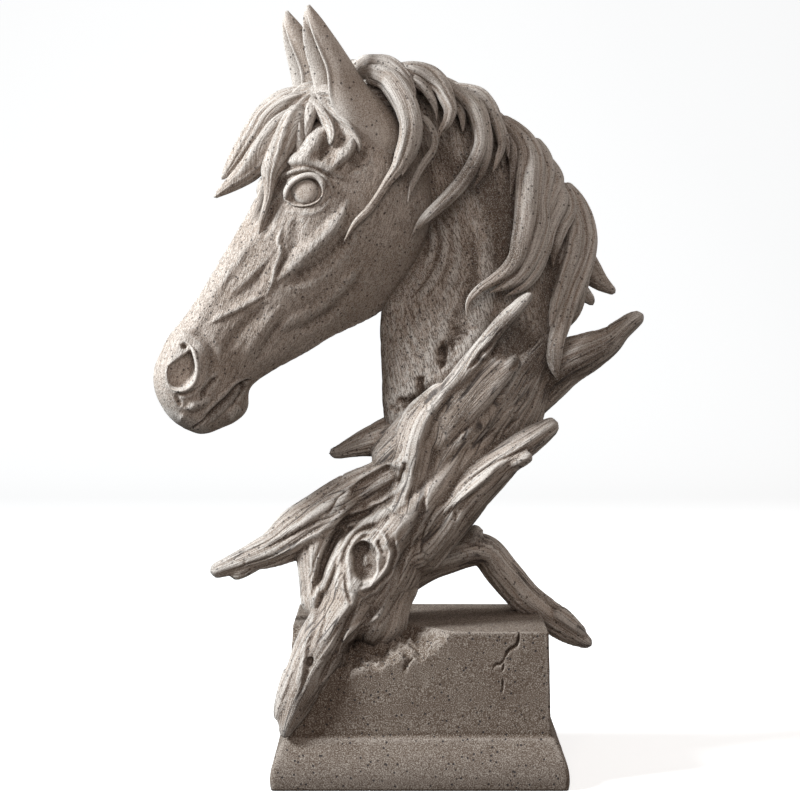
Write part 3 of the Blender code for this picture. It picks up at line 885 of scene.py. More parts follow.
LIMBS = {
    "trunk": ((80, 4, 272, 10, 10), (64, 2, 252, 19, 19), (46, -1, 230, 32, 31), (25, -3, 205, 32, 32),
        (6, -9, 178, 28, 30), (-12, -14, 154, 25, 28), (-29, -19, 130, 26, 27), (-43, -24, 106, 22, 24),
        (-50, -26, 84, 16, 18)),
    "corner_root": ((-30, -22, 126, 16, 16), (-40, -30, 110, 16, 18), (-51, -38, 94, 14.5, 17),
        (-64.5, -50, 70, 12.5, 12), (-74, -56, 50, 9, 8.5), (-78.5, -59.5, 38, 5, 5), (-80, -61, 30.5, 2, 2)),
    "corner_prong": ((-70, -50, 70, 9, 9), (-78, -55, 56, 6.5, 6.5), (-82.5, -58, 47, 4, 4),
        (-84.5, -58.5, 41, 2, 2)),
    "middle_root": ((-12, -12, 132, 20, 20), (-22, -17, 110, 16.5, 21), (-28, -21, 92, 17, 23),
        (-36, -23, 76, 15, 22)),
    "arch_root": ((-18, -4, 114, 12, 14), (4, 4, 125, 9.5, 12), (20, 10, 130, 9.4, 12), (33, 14, 133, 9.8, 11),
        (43, 18, 130, 9.6, 10), (53, 22, 117, 9.2, 10), (66, 24, 101.5, 9.4, 10), (80, 22, 91, 9.2, 8),
        (94, 17, 81.5, 7.4, 6), (103, 14, 75.5, 4.4, 4.4), (108, 13, 72.5, 2.4, 2.4)),
    "arch_knob": ((28, 11, 132, 8, 8), (33, 9, 140, 6.5, 6.5), (37, 8, 144.5, 5, 5), (40, 8, 146, 3.2, 3.2)),
    "arch_tip": ((84, 18, 93, 6, 6), (96, 13, 85, 4.6, 4.6), (104, 11, 80.5, 2.6, 2.6)),
    "long_branch": ((14, -20, 204, 10, 12), (-12, -24, 185, 11, 13), (-42, -26, 167.5, 13.5, 12),
        (-70, -25, 150, 14, 9), (-87, -24, 139, 10, 7), (-105, -22, 131.5, 7, 5.4), (-120, -20, 125.5, 5, 4.4),
        (-127, -19, 123, 3.8, 3.4)),
    "branch_nub": ((-98, -22, 131, 5, 4.5), (-108, -21, 124, 4, 3.6), (-114, -20, 120.5, 2.6, 2.4)),
    "branch_web": ((-48, -24, 164, 14, 10), (-62, -26, 143, 11, 8), (-63, -28, 118, 8, 9), (-62, -32, 100, 8, 9)),
    "throat_branch": ((12, -6, 214, 13, 14), (-8, -9, 208.5, 11.5, 13), (-24, -11, 203.5, 9.4, 10),
        (-33.5, -12, 201, 7.4, 8), (-41.7, -12, 198.4, 5.5, 6), (-48.5, -12, 196, 4, 4.4),
        (-54.5, -12, 195, 2.6, 2.6)),
    "saddle": ((30, -20, 236, 12, 10), (6, -22, 213, 15, 12), (-10, -22, 200, 13, 12), (-26, -20, 186, 9, 9)),
    "spike": ((-22, -18, 190, 10, 9), (-3, -25, 205.5, 9, 9), (10, -32.5, 221, 7.6, 7.6),
        (19, -37.5, 234.5, 6.8, 6.8), (25, -40, 243, 6.2, 6.2), (32, -41.5, 253, 5.8, 5.6), (40, -42.5, 264, 5.2, 5),
        (48, -43, 273.5, 4.8, 4.4), (56, -43, 282, 4.2, 3.6), (62.5, -42.5, 289, 3.2, 2.8),
        (66.5, -42, 293, 1.6, 1.6)),
    "trunk_crest": ((17, -37, 238, 5.5, 6), (9, -33, 226, 9, 9), (3.5, -31, 216, 12, 10.5), (0, -30, 205, 14, 12),
        (-3, -28, 192, 15, 13.5), (-7, -26, 177, 15, 14.5), (-11, -24, 162, 14, 14)),
    "splinter_one": ((2, -32, 206, 9, 8), (14, -37, 224, 8.5, 6), (26, -40, 240, 6.5, 4.5), (38, -41, 252, 3.6, 3)),
    "splinter_two": ((4, -32, 202, 9, 8), (20, -37, 222, 8, 6), (35, -40.5, 242, 6, 4), (48, -41.5, 254.5, 3.6, 3)),
    "splinter_three": ((6, -30, 198, 9, 9), (26, -36, 221, 7.5, 6), (42, -39.5, 239, 6, 4.4), (56, -41, 251.5, 4, 3)),
    "splinter_four": ((14, -31, 201, 8, 8), (31, -37, 222, 6, 5.4), (44, -40, 236, 4, 4),
        (54, -41.5, 245.5, 2.6, 2.4)),
    "torn_layer": ((12, -28, 222, 7, 7), (26, -33, 238, 8, 6), (36, -35, 250, 7.5, 5), (43, -36, 259, 6, 3.6)),
    "long_right_branch": ((30, 4, 201, 22, 22), (60, 6, 226, 16.5, 17), (85, 8, 247, 13.5, 13),
        (104, 8, 256.5, 11.5, 10), (116, 7, 262.5, 8.6, 8), (124, 6, 269.5, 6, 6), (132, 5, 276, 4.8, 4.8),
        (138, 4, 279.5, 3, 3)),
    "lower_right_branch": ((-8, -14, 128, 13, 14), (12, -24, 150, 13, 13), (32, -30, 175, 12, 11),
        (57, -31, 197.5, 8.6, 8), (74, -28, 209.5, 6, 5.6), (83, -26, 215, 4, 4)),
    "far_finger": ((-8, 6, 140, 12, 10), (12, 20, 172, 12, 9), (24, 32, 206, 11, 8), (30, 40, 238, 8, 6),
        (34, 44, 268, 3, 3)),
    "far_short_finger": ((14, 18, 176, 12, 9), (42, 30, 208, 11, 8), (62, 38, 236, 7, 6), (74, 42, 258, 3, 3)),
    "side_stub": ((44, -28, 184, 6, 6), (53, -34, 189.5, 5, 5), (61, -38, 193.5, 3.8, 3.8),
        (67, -39, 196.5, 2.6, 2.6)),
}


@dataclass
class Driftwood:
    """Limbs of weathered wood welded into one, with grain, cracks, a knot and hollows.

    Each row of a limb is x, y, z and its half width seen from the front and half depth.
    """

    limbs: dict[str, Rows] = field(default_factory=lambda: LIMBS)
    torn: dict[str, float] = field(default_factory=lambda: {
        "splinter_one": 8.0, "splinter_two": 8.0, "splinter_three": 8.0, "torn_layer": 9.0, "far_short_finger": 6.0,
    })
    slanted: dict[str, float] = field(default_factory=lambda: {"torn_layer": 6.0})
    boards: tuple[str, ...] = ("splinter_one", "splinter_two", "splinter_three", "torn_layer")
    marks: tuple[Stroke, ...] = WOOD_MARKS
    voxel: float = 1.0
    ring_step: float = 1.3
    around: int = 72
    guide_rows: int = 36
    girth: float = 1.12
    squareness: float = 1.5
    board_squareness: float = 3.2
    usual_tear: float = 1.2
    torn_length: float = 20.0
    fibre_cells: float = 3.6
    # where limbs meet: the nearer wins, the trunk over the first stretch of the others, none far past its end
    trunk_lead: float = 14.0
    lead_length: float = 24.0
    past_end: float = 4.0
    grain_apart: float = 90.0
    # of each set of ridges: size across and along the grain, pattern and height
    ridges: tuple[tuple[float, float, int, float], ...] = ((5.6, 110.0, 31, 0.62), (2.8, 70.0, 36, 0.50))
    cut_height: float = 168.0

    def limb(self, name: str, number: int) -> Surface:
        """One limb: a superellipse whose corners make ridges along it, with winding lobes and a torn, slanted end."""
        rows = np.asarray(self.limbs[name], float)
        length = step_lengths(rows[:, :3]).sum()
        table = even_rows(rows, max(int(length / self.ring_step), 12))
        path = table[:, :3]
        heading, deep, wide = path_frames(path, np.array([0.0, 1.0, 0.0]))
        angle = turns(self.around)
        run = np.linspace(0.0, length, len(path))
        kept = round_ends(run, rows[0, 4], rows[-1, 4])[:, None]
        along = run[:, None]
        turn = angle + 0.22 * np.sin(along / 34.0 + 1.7 * number)
        lobes = strands(2.5 * angle + 0.02 * along + number)
        swell = kept * (1.0 + 0.11 * lobes + 0.04 * np.sin(along / 9.0 + number + 2.0 * np.sin(angle)))
        power = 2.0 / (self.board_squareness if name in self.boards else self.squareness)
        cosine, sine = (np.sign(part) * np.abs(part) ** power for part in (np.cos(turn), np.sin(turn)))
        across = self.girth * table[:, 3:4] * swell * cosine
        through = self.girth * table[:, 4:5] * swell * sine
        fibre = pack(np.cos(angle) * self.fibre_cells, np.sin(angle) * self.fibre_cells, 3.7 * number)
        tear = self.torn.get(name, self.usual_tear) * lattice_noise(fibre, 11)
        slant = -self.slanted.get(name, 0.0) * wide[:, 2:3] * cosine
        near_end = smooth_step((along - length + self.torn_length) / self.torn_length)
        rings = rings_round(path, wide, deep, across, through)
        rings = rings + ((tear + slant) * near_end)[..., None] * heading[:, None]
        return tube(rings, rings)

    def welded(self) -> bpy.types.Object:
        """All limbs welded into one skin by a voxel remesh and eased."""
        parts = [self.limb(name, number) for number, name in enumerate(self.limbs)]
        made = make_mesh("driftwood", Surface.joined(parts))
        weld = made.modifiers.new("weld", "REMESH")
        weld.mode = "VOXEL"
        weld.voxel_size = self.voxel * MM
        ease = made.modifiers.new("ease", "SMOOTH")
        ease.factor = 0.5
        ease.iterations = 5
        graph = bpy.context.evaluated_depsgraph_get()
        made.data = bpy.data.meshes.new_from_object(made.evaluated_get(graph))
        made.modifiers.clear()
        made.data.name = "driftwood"
        made.data.shade_smooth()
        return made

    def limb_places(self, points: Array) -> tuple[Array, Array, Array]:
        """Where points lie on their nearest limb.

        Args:
            points: (n, 3) points.

        Returns:
            (n, 3) grain coordinates, two round the limb and one along it, (n,) limb half widths, and (n,) how
            much farther off the next limb is, all in millimetres.
        """
        best, second = np.full(len(points), np.inf), np.full(len(points), np.inf)
        grain = np.zeros((len(points), 3))
        girth = np.zeros(len(points))
        for number, rows in enumerate(self.limbs.values()):
            table = even_rows(rows, self.guide_rows)
            path = table[:, :3]
            half = 0.5 * (table[:, 3] + table[:, 4])
            heading, deep, wide = path_frames(path, np.array([0.0, 1.0, 0.0]))
            run = running_sum(step_lengths(path))
            square = (points**2).sum(1)[:, None] - 2.0 * points @ path.T + (path**2).sum(1)
            excess = np.sqrt(np.maximum(square, 0.0)) - half
            closest = np.argmin(excess, axis=1)
            excess = excess[np.arange(len(points)), closest] + 0.12 * half[closest]
            excess += self.trunk_lead * np.clip(1.0 - run[closest] / self.lead_length, 0.0, 1.0) * (number > 0)
            gap = points - path[closest]
            ahead = np.sum(gap * heading[closest], axis=1)
            beyond = self.past_end * np.maximum(ahead - 0.6 * half[-1], 0.0)
            excess += np.where(closest == len(path) - 1, beyond, 0.0)
            around = unit(pack(np.sum(gap * wide[closest], axis=1), np.sum(gap * deep[closest], axis=1)))
            around = around * float(np.mean(half))
            place = pack(around[:, 0] + self.grain_apart * number, around[:, 1], run[closest] + ahead)
            mine = excess < best
            second = np.where(mine, best, np.minimum(second, excess))
            grain[mine] = place[mine]
            girth[mine] = half[closest][mine]
            best[mine] = excess[mine]
        return grain, girth, second - best

    def carve(self, points: Array, normal: Array) -> Array:
        """Cuts and raises the marks of the near face, towards and away from the front."""
        near = smooth_step((0.45 - normal[:, 1]) / 0.6) * smooth_step((-4.0 - points[:, 1]) / 8.0)
        wander = pack(lattice_noise(points / 6.0, 12), lattice_noise(points / 6.0, 13))
        lift = relief(points[:, [0, 2]] + 0.7 * wander, self.marks) * near
        return points - lift[:, None] * np.array([0.0, 1.0, 0.0])

    def grain_lift(self, points: Array, flow: Array, girth: Array) -> Array:
        """Height of the weathered grain: long crests with sharp valleys, finer fibres, a few open checks."""
        crests = sum(
            height * ridged_noise(flow / np.array([across, across, along]), seed)
            for across, along, seed, height in self.ridges
        )
        checks = np.clip(-ridged_noise(flow / np.array([7.5, 7.5, 42.0]), 51) - 0.68, 0.0, 1.0)
        worn = 0.5 + 0.5 * smooth_step(0.5 + 1.2 * lattice_noise(points / 26.0, 52))
        scale = np.clip(girth / 10.0, 0.3, 1.0)
        return scale * worn * (crests - 5.5 * checks)

    def build(self) -> bpy.types.Object:
        """The welded wood with its grain, cracks and knot cut in."""
        made = self.welded()
        mesh = made.data
        points = neighbour_mean(self.carve(read_points(mesh), read_normals(mesh)), mesh, 1)
        move_points(mesh, points)
        normal = read_normals(mesh)
        grain, girth, apart = self.limb_places(points)
        sway = 2.0 * lattice_noise(points / 34.0, 21)[:, None] + 0.35 * lattice_noise(points / 9.0, 22)[:, None]
        flow = grain + np.array([1.0, 0.7, 0.0]) * sway
        lift = self.grain_lift(points, flow, girth) * (0.15 + 0.85 * smooth_step(apart / 4.0))
        move_points(mesh, points + normal * lift[:, None])
        store(mesh, "grain", flow)
        return made

    def split(self, whole: bpy.types.Object) -> list[bpy.types.Object]:
        """Cuts the weathered wood level at one height into two closed pieces with flat faces inside."""
        pieces = []
        for name, keep_low in (("driftwood_roots", True), ("driftwood_branches", False)):
            shell = bmesh.new()
            shell.from_mesh(whole.data)
            cut = bmesh.ops.bisect_plane(
                shell, geom=[*shell.verts, *shell.edges, *shell.faces], dist=1e-7,
                plane_co=(0.0, 0.0, self.cut_height * MM), plane_no=(0.0, 0.0, 1.0),
                clear_outer=keep_low, clear_inner=not keep_low,
            )
            rim = [item for item in cut["geom_cut"] if isinstance(item, bmesh.types.BMEdge)]
            for face in bmesh.ops.triangle_fill(shell, use_beauty=True, edges=rim)["geom"]:
                if isinstance(face, bmesh.types.BMFace):
                    face.smooth = False
                    if (face.normal.z > 0.0) != keep_low:
                        face.normal_flip()
            mesh = bpy.data.meshes.new(name)
            shell.to_mesh(mesh)
            shell.free()
            pieces.append(new_object(name, mesh))
        bpy.data.objects.remove(whole)
        return pieces


# ----------------------------------------
# Neck and head


@dataclass
class Neck:
    """The horse's neck: egg-shaped slices from throat edge to crest edge, with muscles and folds of skin."""

    # x and z of the throat edge, x and z of the crest edge, half width
    stations: Rows = (
        (-26, 146, 6, 150, 14), (-26, 166, 22, 174, 23), (-32, 190, 41, 205, 28), (-42, 216, 65, 243, 31),
        (-45, 250, 77, 275, 31.5), (-45, 282, 84, 312, 30.5), (-32, 312, 76, 344, 28), (-24, 340, 51, 376, 25),
        (-28, 362, 18, 398, 22), (-42, 380, -18, 415, 19), (-58, 386, -54, 416, 15),
    )
    # how much fuller the crest side is, and where the given half width lies between throat 0 and crest 1
    fuller: Pair = (0.3, 0.6)
    hair_cell: Triple = (1.9, 3.0, 15.0)
    hair_height: float = 0.32
    along: int = 250
    around: int = 176
    strokes: tuple[Stroke, ...] = (
        Stroke(((-26, 344), (-18, 333), (-18, 319), (-23, 307)), 2.8, 3.2, 1.6),
        Stroke(((-18, 342), (-11, 329), (-12, 314), (-18, 301), (-27, 289)), 2.6, 3.6, 1.5),
        Stroke(((-14, 330), (-16, 314), (-22, 302), (-33, 288)), 1.8, 1.8, -2, CREASE),
        Stroke(((-5, 340), (-4, 322), (-6, 306), (-13, 291)), 3.2, 6, 1.1),
        Stroke(((4, 332), (5, 308), (0, 288), (-12, 262)), 5, 8, -1.2),
        Stroke(((14, 330), (14, 300), (6, 270), (-6, 244)), 9, 9, 1.6),
    )
    # rotten places where the neck meets the wood
    rot: tuple[Stroke, ...] = (
        Stroke(((-15, 263), (-14.5, 254), (-15, 247)), 3, 3.2, 2.2, BOWL, 0.3),
        Stroke(((-14, 250), (-10, 261), (-3, 270), (5, 272)), 7, 7, 1.3, taper=0.3),
        Stroke(((-27, 241), (-25.5, 233)), 2.4, 2.6, 2, BOWL, 0),
        Stroke(((-38, 229), (-33, 227), (-28, 230)), 2.4, 2.4, 2, BOWL, 0.2),
        Stroke(((-44, 222), (-36, 225), (-28, 229), (-21, 238)), 5, 5, 0.8, taper=0.2),
    )

    def surface(self) -> Surface:
        """The neck's surface: each slice's half width is its station's, made larger towards the crest."""
        rows = even_rows(self.stations, self.along, 4)
        angle = turns(self.around)
        back = 0.5 - 0.5 * np.cos(angle)
        lean = 1.0 + self.fuller[0] * (back - self.fuller[1])
        throat_x, throat_z, crest_x, crest_z, half = (column[:, None] for column in rows.T)
        across = -half * np.sin(angle) * lean
        local = pack(throat_x + (crest_x - throat_x) * back, across, throat_z + (crest_z - throat_z) * back)
        flat = local.reshape(-1, 3)
        normal = outward_normals(local).reshape(-1, 3)
        lift = relief(flat[:, [0, 2]], self.strokes)
        hair = pack(flat[:, 0] + 0.30 * flat[:, 2], flat[:, 1], flat[:, 2] - 0.30 * flat[:, 0])
        hair = hair + 1.2 * lattice_noise(flat / 14.0, 61)[:, None]
        lift += self.hair_height * ridged_noise(hair / np.array(self.hair_cell), 62)
        lift += 0.8 * lattice_noise(flat / 22.0, 63)
        rough = 1.0 + 4.5 * np.abs(lattice_noise(flat / 3.2, 64))
        lift -= relief(flat[:, [0, 2]], self.rot) * rough * smooth_step(-flat[:, 1] / 8.0)
        flat = flat + normal * lift[:, None]
        return tube(horse_to_row(flat).reshape(local.shape), hair.reshape(local.shape))


FACE = (
    # brow and the bones above the eye
    Stroke(((58, 29), (53, 23), (49.5, 16), (46.5, 8.5), (45, 2), (44.5, -5)), 2.4, 8.5, 3, taper=0.35),
    Stroke(((54, 22), (45, 19.5), (36, 18.5), (26, 20)), 6, 6.5, 2.6, taper=0.3),
    Stroke(((10, 15), (15.5, 7.5), (20, 0), (28, -1.5), (37, 0.5), (45, 2)), 8, 3.6, 3.2, taper=0.3),
    Stroke(((42, 9), (35, 11), (28, 13), (20, 15.5)), 4.2, 4.2, -2, taper=0.3),
    Stroke(((42.5, 9.5), (40, 10.5)), 2.6, 2.6, -1),
    Stroke(((38, -8), (28, -9), (18, -10)), 7, 7, -2.2, taper=0.35),
    # folds over and under the eye
    Stroke(((74, 20), (70.5, 22), (64, 23), (58, 20.5), (51.9, 15.4), (49.2, 6.8), (50.7, -1), (54, -6)),
           1.7, 1.7, 1.8),
    Stroke(((72, 18.5), (68, 20), (63, 20.5), (58.3, 18.3), (53.3, 13.8), (51, 6.9), (52.5, 0)), 1.1, 1.1, -1.8,
           CREASE),
    Stroke(((57, 25.5), (51.5, 19), (48, 11), (46.8, 4), (47.2, -3)), 1.3, 1.3, -1.8, CREASE),
    Stroke(((78, 11), (74, 3), (70, -3.5), (63, -6.5), (57, -6)), 2, 2.6, 0.4),
    Stroke(((73, 16.5), (80, 16), (88, 14), (97, 12)), 2.4, 3.2, -1.2),
    # cheek bone, with hollows over and under it
    Stroke(((54, -16), (66, -17.5), (80, -15.5), (94, -12.5), (104, -10.5), (113, -8)), 8, 6.5, 3.2, taper=0.3),
    Stroke(((77, 3), (86, -2), (95, -4.5)), 5, 5, -1.2),
    Stroke(((108, 2.5), (118, 2), (128, 4), (140, 9)), 5, 6.5, -1.9, taper=0.35),
    Stroke(((64, -27), (78, -26.5), (92, -23.5), (104, -18), (113, -14)), 5, 8, -2.2),
    Stroke(((77, -45), (92, -44), (105, -41.5), (116, -37), (128, -30), (140, -25)), 6, 6, 1.9),
    Stroke(((104, -50), (116, -45), (130, -38)), 5, 6, -1.4),
    # veins
    Stroke(((83, 7.5), (88.5, 6.2), (94.2, 4), (99.5, -0.7), (107, -2.3), (116, -5.8), (124.5, -8)), 1.7, 2.6, 1.4),
    Stroke(((124.5, -7), (130, -3.5), (138.5, 1), (146, 6), (156, 11.5)), 4, 2, 1.3),
    # the fold that runs down in front of the lids
    Stroke(((56, 22), (60, 23.2), (64.5, 23.2), (69, 22), (72, 20.4)), 2, 2, 2),
    Stroke(((61, 19.4), (66, 19.4), (70, 18.4)), 1.3, 1.3, -1.2),
    # long planes of the nose and jaw
    Stroke(((100, 12), (122, 13), (146, 15)), 4, 8, -1),
    Stroke(((128, -11), (140, -8), (154, -5), (168, -4)), 5, 6, -1.6),
    Stroke(((126, -18), (140, -17), (152, -16.5), (165, -17.5)), 5, 6, 1),
    Stroke(((130, -24), (146, -24), (160, -25)), 4, 5, -1.2),
    # muzzle: round the nostril, the folds behind it and the upper lip
    Stroke(((166, 20), (165, 12), (168, 4), (175, -2), (184, -5)), 4, 5, -1.2),
    Stroke(((175.6, 19.2), (174.9, 17.1), (174.7, 15.4)), 2.3, 2.3, -2.8),
    Stroke(((201.5, 8), (199.5, 3.7), (195.5, -0.4), (190, -2.4)), 1.5, 2.2, -1.8, CREASE),
    Stroke(((202, 7), (203.5, 3.5), (205.5, 0)), 2, 2, -1.6),
    Stroke(((179, -8.5), (185.5, -7), (191, -6.6), (196, -6.4)), 2.6, 2.6, -2),
    Stroke(((205, -3), (198, -8), (191.5, -12.3)), 4.2, 4.2, 2.4),
    Stroke(((209, -3), (211, -6)), 2.6, 2.6, 1.2),
    # mouth, lips and chin
    Stroke(((171, -26), (175.5, -22), (184, -18.8), (194, -15.5), (204, -13.3)), 3, 1.6, 1.4, taper=0.15),
    Stroke(((169, -30), (174.3, -24.2), (179.5, -21.4), (187, -20.3), (194.5, -18), (199, -17), (206, -16.2),
            (214, -13)), 1.6, 1.6, -3.6, CREASE, 0.08),
    Stroke(((173, -28), (177, -25.6)), 3.6, 3.4, -4.2),
    Stroke(((178, -24.6), (187, -23.3), (196, -21.3), (205, -19.6)), 2.6, 2.6, 1.5, taper=0.15),
    Stroke(((172.5, -31), (176, -29), (183, -26.3), (190, -26.3)), 1.8, 1.8, -2, CREASE),
    Stroke(((186, -32), (197, -28.5)), 6, 6, 2.4),
)

@dataclass
class Head:
    """The horse's head: rings across the line from poll to lips, with the bones, veins, eyes and muzzle on it."""

    # levels from top 0 to bottom 1; each station is its place along, top, bottom and half width at each level
    levels: tuple[float, ...] = (0.06, 0.17, 0.30, 0.55, 0.82)
    stations: Rows = (
        (-14, 2, -44, 11, 16, 18, 18, 10), (5, 17, -66, 18, 24, 26, 25, 14), (28, 26, -80, 24, 29, 31.5, 32, 23),
        (50, 27, -85, 25, 31, 33.5, 33, 23), (72, 25, -83, 18, 26, 30.5, 30.5, 19),
        (96, 23.5, -75, 13.5, 20, 24, 25, 14), (120, 23, -60, 11, 15.5, 18, 19.5, 11),
        (142, 22.5, -48, 10, 13.5, 15.5, 16.5, 10.5), (161, 23.2, -37, 11, 14.5, 16.5, 16, 11),
        (173, 25, -33.5, 12.5, 16.5, 18.5, 16, 11), (184, 24, -38, 13.5, 18, 19.5, 17, 12.5),
        (194, 22, -36.5, 13.5, 17.5, 19, 16.5, 12.5), (203, 16, -30.5, 11.5, 15.5, 17, 15, 11),
        (209, 8, -25.5, 8.5, 12, 13.5, 12.5, 9), (212.5, 1, -20, 5, 7.5, 9, 8.5, 6),
        (214, -5, -13, 1.5, 2.5, 3, 2.5, 1.5),
    )
    face: tuple[Stroke, ...] = FACE
    flank_from: float = 7.0
    hair_height: float = 0.24
    nostril: Pair = (186.8, 11.4)
    nostril_half: Pair = (12.6, 8.6)
    nostril_slant: float = math.radians(-10.0)
    nostril_front: tuple[Pair, Pair] = ((174.5, 13.6), (192.3, 21.0))
    nostril_cap: float = 15.5
    nostril_depth: float = 2.8
    nostril_rim: Rows = (
        (172.8, 19), (172.6, 15.8), (174.2, 12.4), (177, 9.2), (180, 6.3), (183.8, 3.9), (188, 2.4), (192, 2.2),
        (195.8, 3.6), (198.4, 6.2), (199.6, 9.4), (199.4, 12.5),
    )
    eye: Pair = (61.8, 7.6)
    eye_half: Pair = (7.2, 7.4)
    eye_dome: float = 3.6
    eye_sunk: float = 0.9
    eye_floor: float = 5.0
    socket_reach: float = 10.5
    socket_depth: float = 1.6
    eye_slant: float = math.radians(42.0)
    lid_ring: Rows = (
        (-11.4, -1.8), (-9.6, 2.9), (-6.0, 6.5), (-0.5, 8.6), (5.2, 7.9), (9.0, 4.4), (9.6, -0.9), (7.6, -5.5),
        (3.0, -8.0), (-2.8, -8.1), (-8.2, -5.9),
    )
    along_count: int = 262
    around_count: int = 276
    level_steps: int = 30
    skin_rows: int = 240
    bead_around: int = 18

    def base(self) -> Array:
        """The bare head in its own coordinates: rings of (along, height, out), evenly spaced on each ring."""
        rows = even_rows(self.stations, self.along_count, 1)
        along, top, bottom = rows[:, 0], rows[:, 1], rows[:, 2]
        level, half = self.section(rows)
        height = top[:, None] + (bottom - top)[:, None] * level
        runs = [running_sum(steps) for steps in np.hypot(np.diff(height, axis=1), np.diff(half, axis=1))]
        wanted = np.linspace(0.0, 1.0, self.around_count // 2 + 1)
        height, half = (
            np.stack([np.interp(wanted * run[-1], run, ring) for run, ring in zip(runs, rings)])
            for rings in (height, half)
        )
        heights = np.concatenate([height, height[:, -2:0:-1]], axis=1)
        return pack(along[:, None], heights, np.concatenate([-half, half[:, -2:0:-1]], axis=1))

    def section(self, rows: Array) -> tuple[Array, Array]:
        """Half widths of the head from its top to its bottom.

        Args:
            rows: (n, 8) stations.

        Returns:
            (m,) levels from 0 at the top to 1 at the bottom, and (n, m) half widths.
        """
        zero = np.zeros(len(rows))
        widths = np.stack([zero, *rows[:, 3:].T, zero], axis=1)
        levels = np.array([0.0, *self.levels, 1.0])
        dense = smooth_rows(np.concatenate([levels[:, None], widths.T], axis=1), self.level_steps)
        return dense[:, 0], np.maximum(dense[:, 1:].T, 0.0)

    def skin(self, places: Array) -> Array:
        """How far out the bare head reaches at (n, 2) places given along it and in height."""
        table = even_rows(self.stations, self.skin_rows, 1)
        rows = pack(*(np.interp(places[:, 0], table[:, 0], column) for column in table.T))
        level, half = self.section(rows)
        wanted = np.clip((places[:, 1] - rows[:, 1]) / (rows[:, 2] - rows[:, 1]), 0.0, 1.0)
        after = np.clip(np.searchsorted(level, wanted), 1, len(level) - 1)
        share = (wanted - level[after - 1]) / np.maximum(level[after] - level[after - 1], TINY)
        row = np.arange(len(places))
        return half[row, after - 1] * (1.0 - share) + half[row, after] * share

    def surface(self) -> Surface:
        """The head with its relief, pressed in at the eyes and nostrils."""
        base = self.base()
        local = on_head(*np.moveaxis(base, -1, 0))
        flat = local.reshape(-1, 3)
        places = base.reshape(-1, 3)[:, :2]
        side = np.sign(flat[:, 1])
        normal = outward_normals(local).reshape(-1, 3)
        flank = smooth_step(np.abs(flat[:, 1]) / self.flank_from)
        push = unit(normal + 0.6 * flank[:, None] * pack(0.0, side, 0.0))
        inside = self.nostril_share(places)
        lift = flank * (relief(places, self.face) + self.socket(places)) + self.hair(flat, places)
        flat = flat + push * (lift * (1.0 - inside))[:, None]
        floor = np.minimum(np.abs(flat[:, 1]), self.nostril_cap) - self.nostril_depth
        flat[:, 1] += inside * (side * floor - flat[:, 1])
        flow = pack(places[:, 1] + 0.25 * places[:, 0], flat[:, 1], places[:, 0])
        return tube(horse_to_row(flat).reshape(local.shape), flow.reshape(local.shape))

    def nostril_share(self, places: Array) -> Array:
        """How far places lie in the nostril: a tilted ellipse cut straight in front, 1 inside, 0 past a steep wall."""
        c, s = math.cos(self.nostril_slant), math.sin(self.nostril_slant)
        turned = (places - np.array(self.nostril)) @ np.array([[c, -s], [s, c]])
        radius = np.linalg.norm(turned / np.array(self.nostril_half), axis=1)
        start, end = np.array(self.nostril_front)
        ahead = (end - start) / np.linalg.norm(end - start)
        below = (places - start) @ np.array([ahead[1], -ahead[0]])
        return smooth_step(np.minimum((1.0 - radius) / 0.24, below / 2.0))

    def hair(self, flat: Array, places: Array) -> Array:
        """Short hair: ridges that run down the face in front and turn back over the cheek, and a slight waviness."""
        sway = 1.2 * lattice_noise(flat / 11.0, 71)
        along, height = places[:, 0], places[:, 1]
        across = flat[:, 1] / 4.0
        down_face = pack((height + sway) / 1.7, across, along / 10.0)
        over_cheek = pack((0.87 * along + 0.49 * height + sway) / 1.7, across, (0.49 * along - 0.87 * height) / 9.0)
        cheek = smooth_step((2.0 - height) / 16.0) * smooth_step((150.0 - along) / 40.0)
        ridges = cheek * ridged_noise(over_cheek, 72) + (1.0 - cheek) * ridged_noise(down_face, 75)
        furry = 0.3 + 0.7 * smooth_step((175.0 - along) / 50.0)
        waves = 0.35 * lattice_noise(flat / 13.0, 73)
        return self.hair_height * furry * ridges + waves + 0.1 * lattice_noise(flat / 5.0, 74)

    def eye_places(self, back_up: Array) -> Array:
        """Places in the eye's own axes, towards its back corner and up across it, as head coordinates."""
        c, s = math.cos(self.eye_slant), math.sin(self.eye_slant)
        return np.array(self.eye) + back_up @ np.array([[-c, -s], [-s, c]])

    def socket(self, places: Array) -> Array:
        """The hollow under each eye: its depth times one less the cube of the distance over its reach."""
        distance = np.linalg.norm(places - np.array(self.eye), axis=1) / self.socket_reach
        return -self.socket_depth * np.clip(1.0 - distance**3, 0.0, 1.0)

    def eyeball(self, side: Side) -> Surface:
        """A flat dome on the skin, closed underneath; its height is 1 - r^2.4 to the power 0.6."""
        dome, under = 22, 3
        radius = np.concatenate([np.linspace(0.03, 1.0, dome), np.linspace(1.0, 0.05, under)])[:, None]
        turn = turns(64)
        back, up = self.eye_half
        place = self.eye_places(pack(radius * np.cos(turn) * back, radius * np.sin(turn) * up))
        above = self.eye_dome * np.maximum(1.0 - radius**2.4, 0.0) ** 0.6 - self.eye_sunk
        above[dome:] = -self.eye_floor
        flat = place.reshape(-1, 2)
        out = (self.skin(flat).reshape(place.shape[:2]) + above) * side.value
        points = horse_to_row(on_head(place[..., 0], place[..., 1], out))
        return tube(points, points)

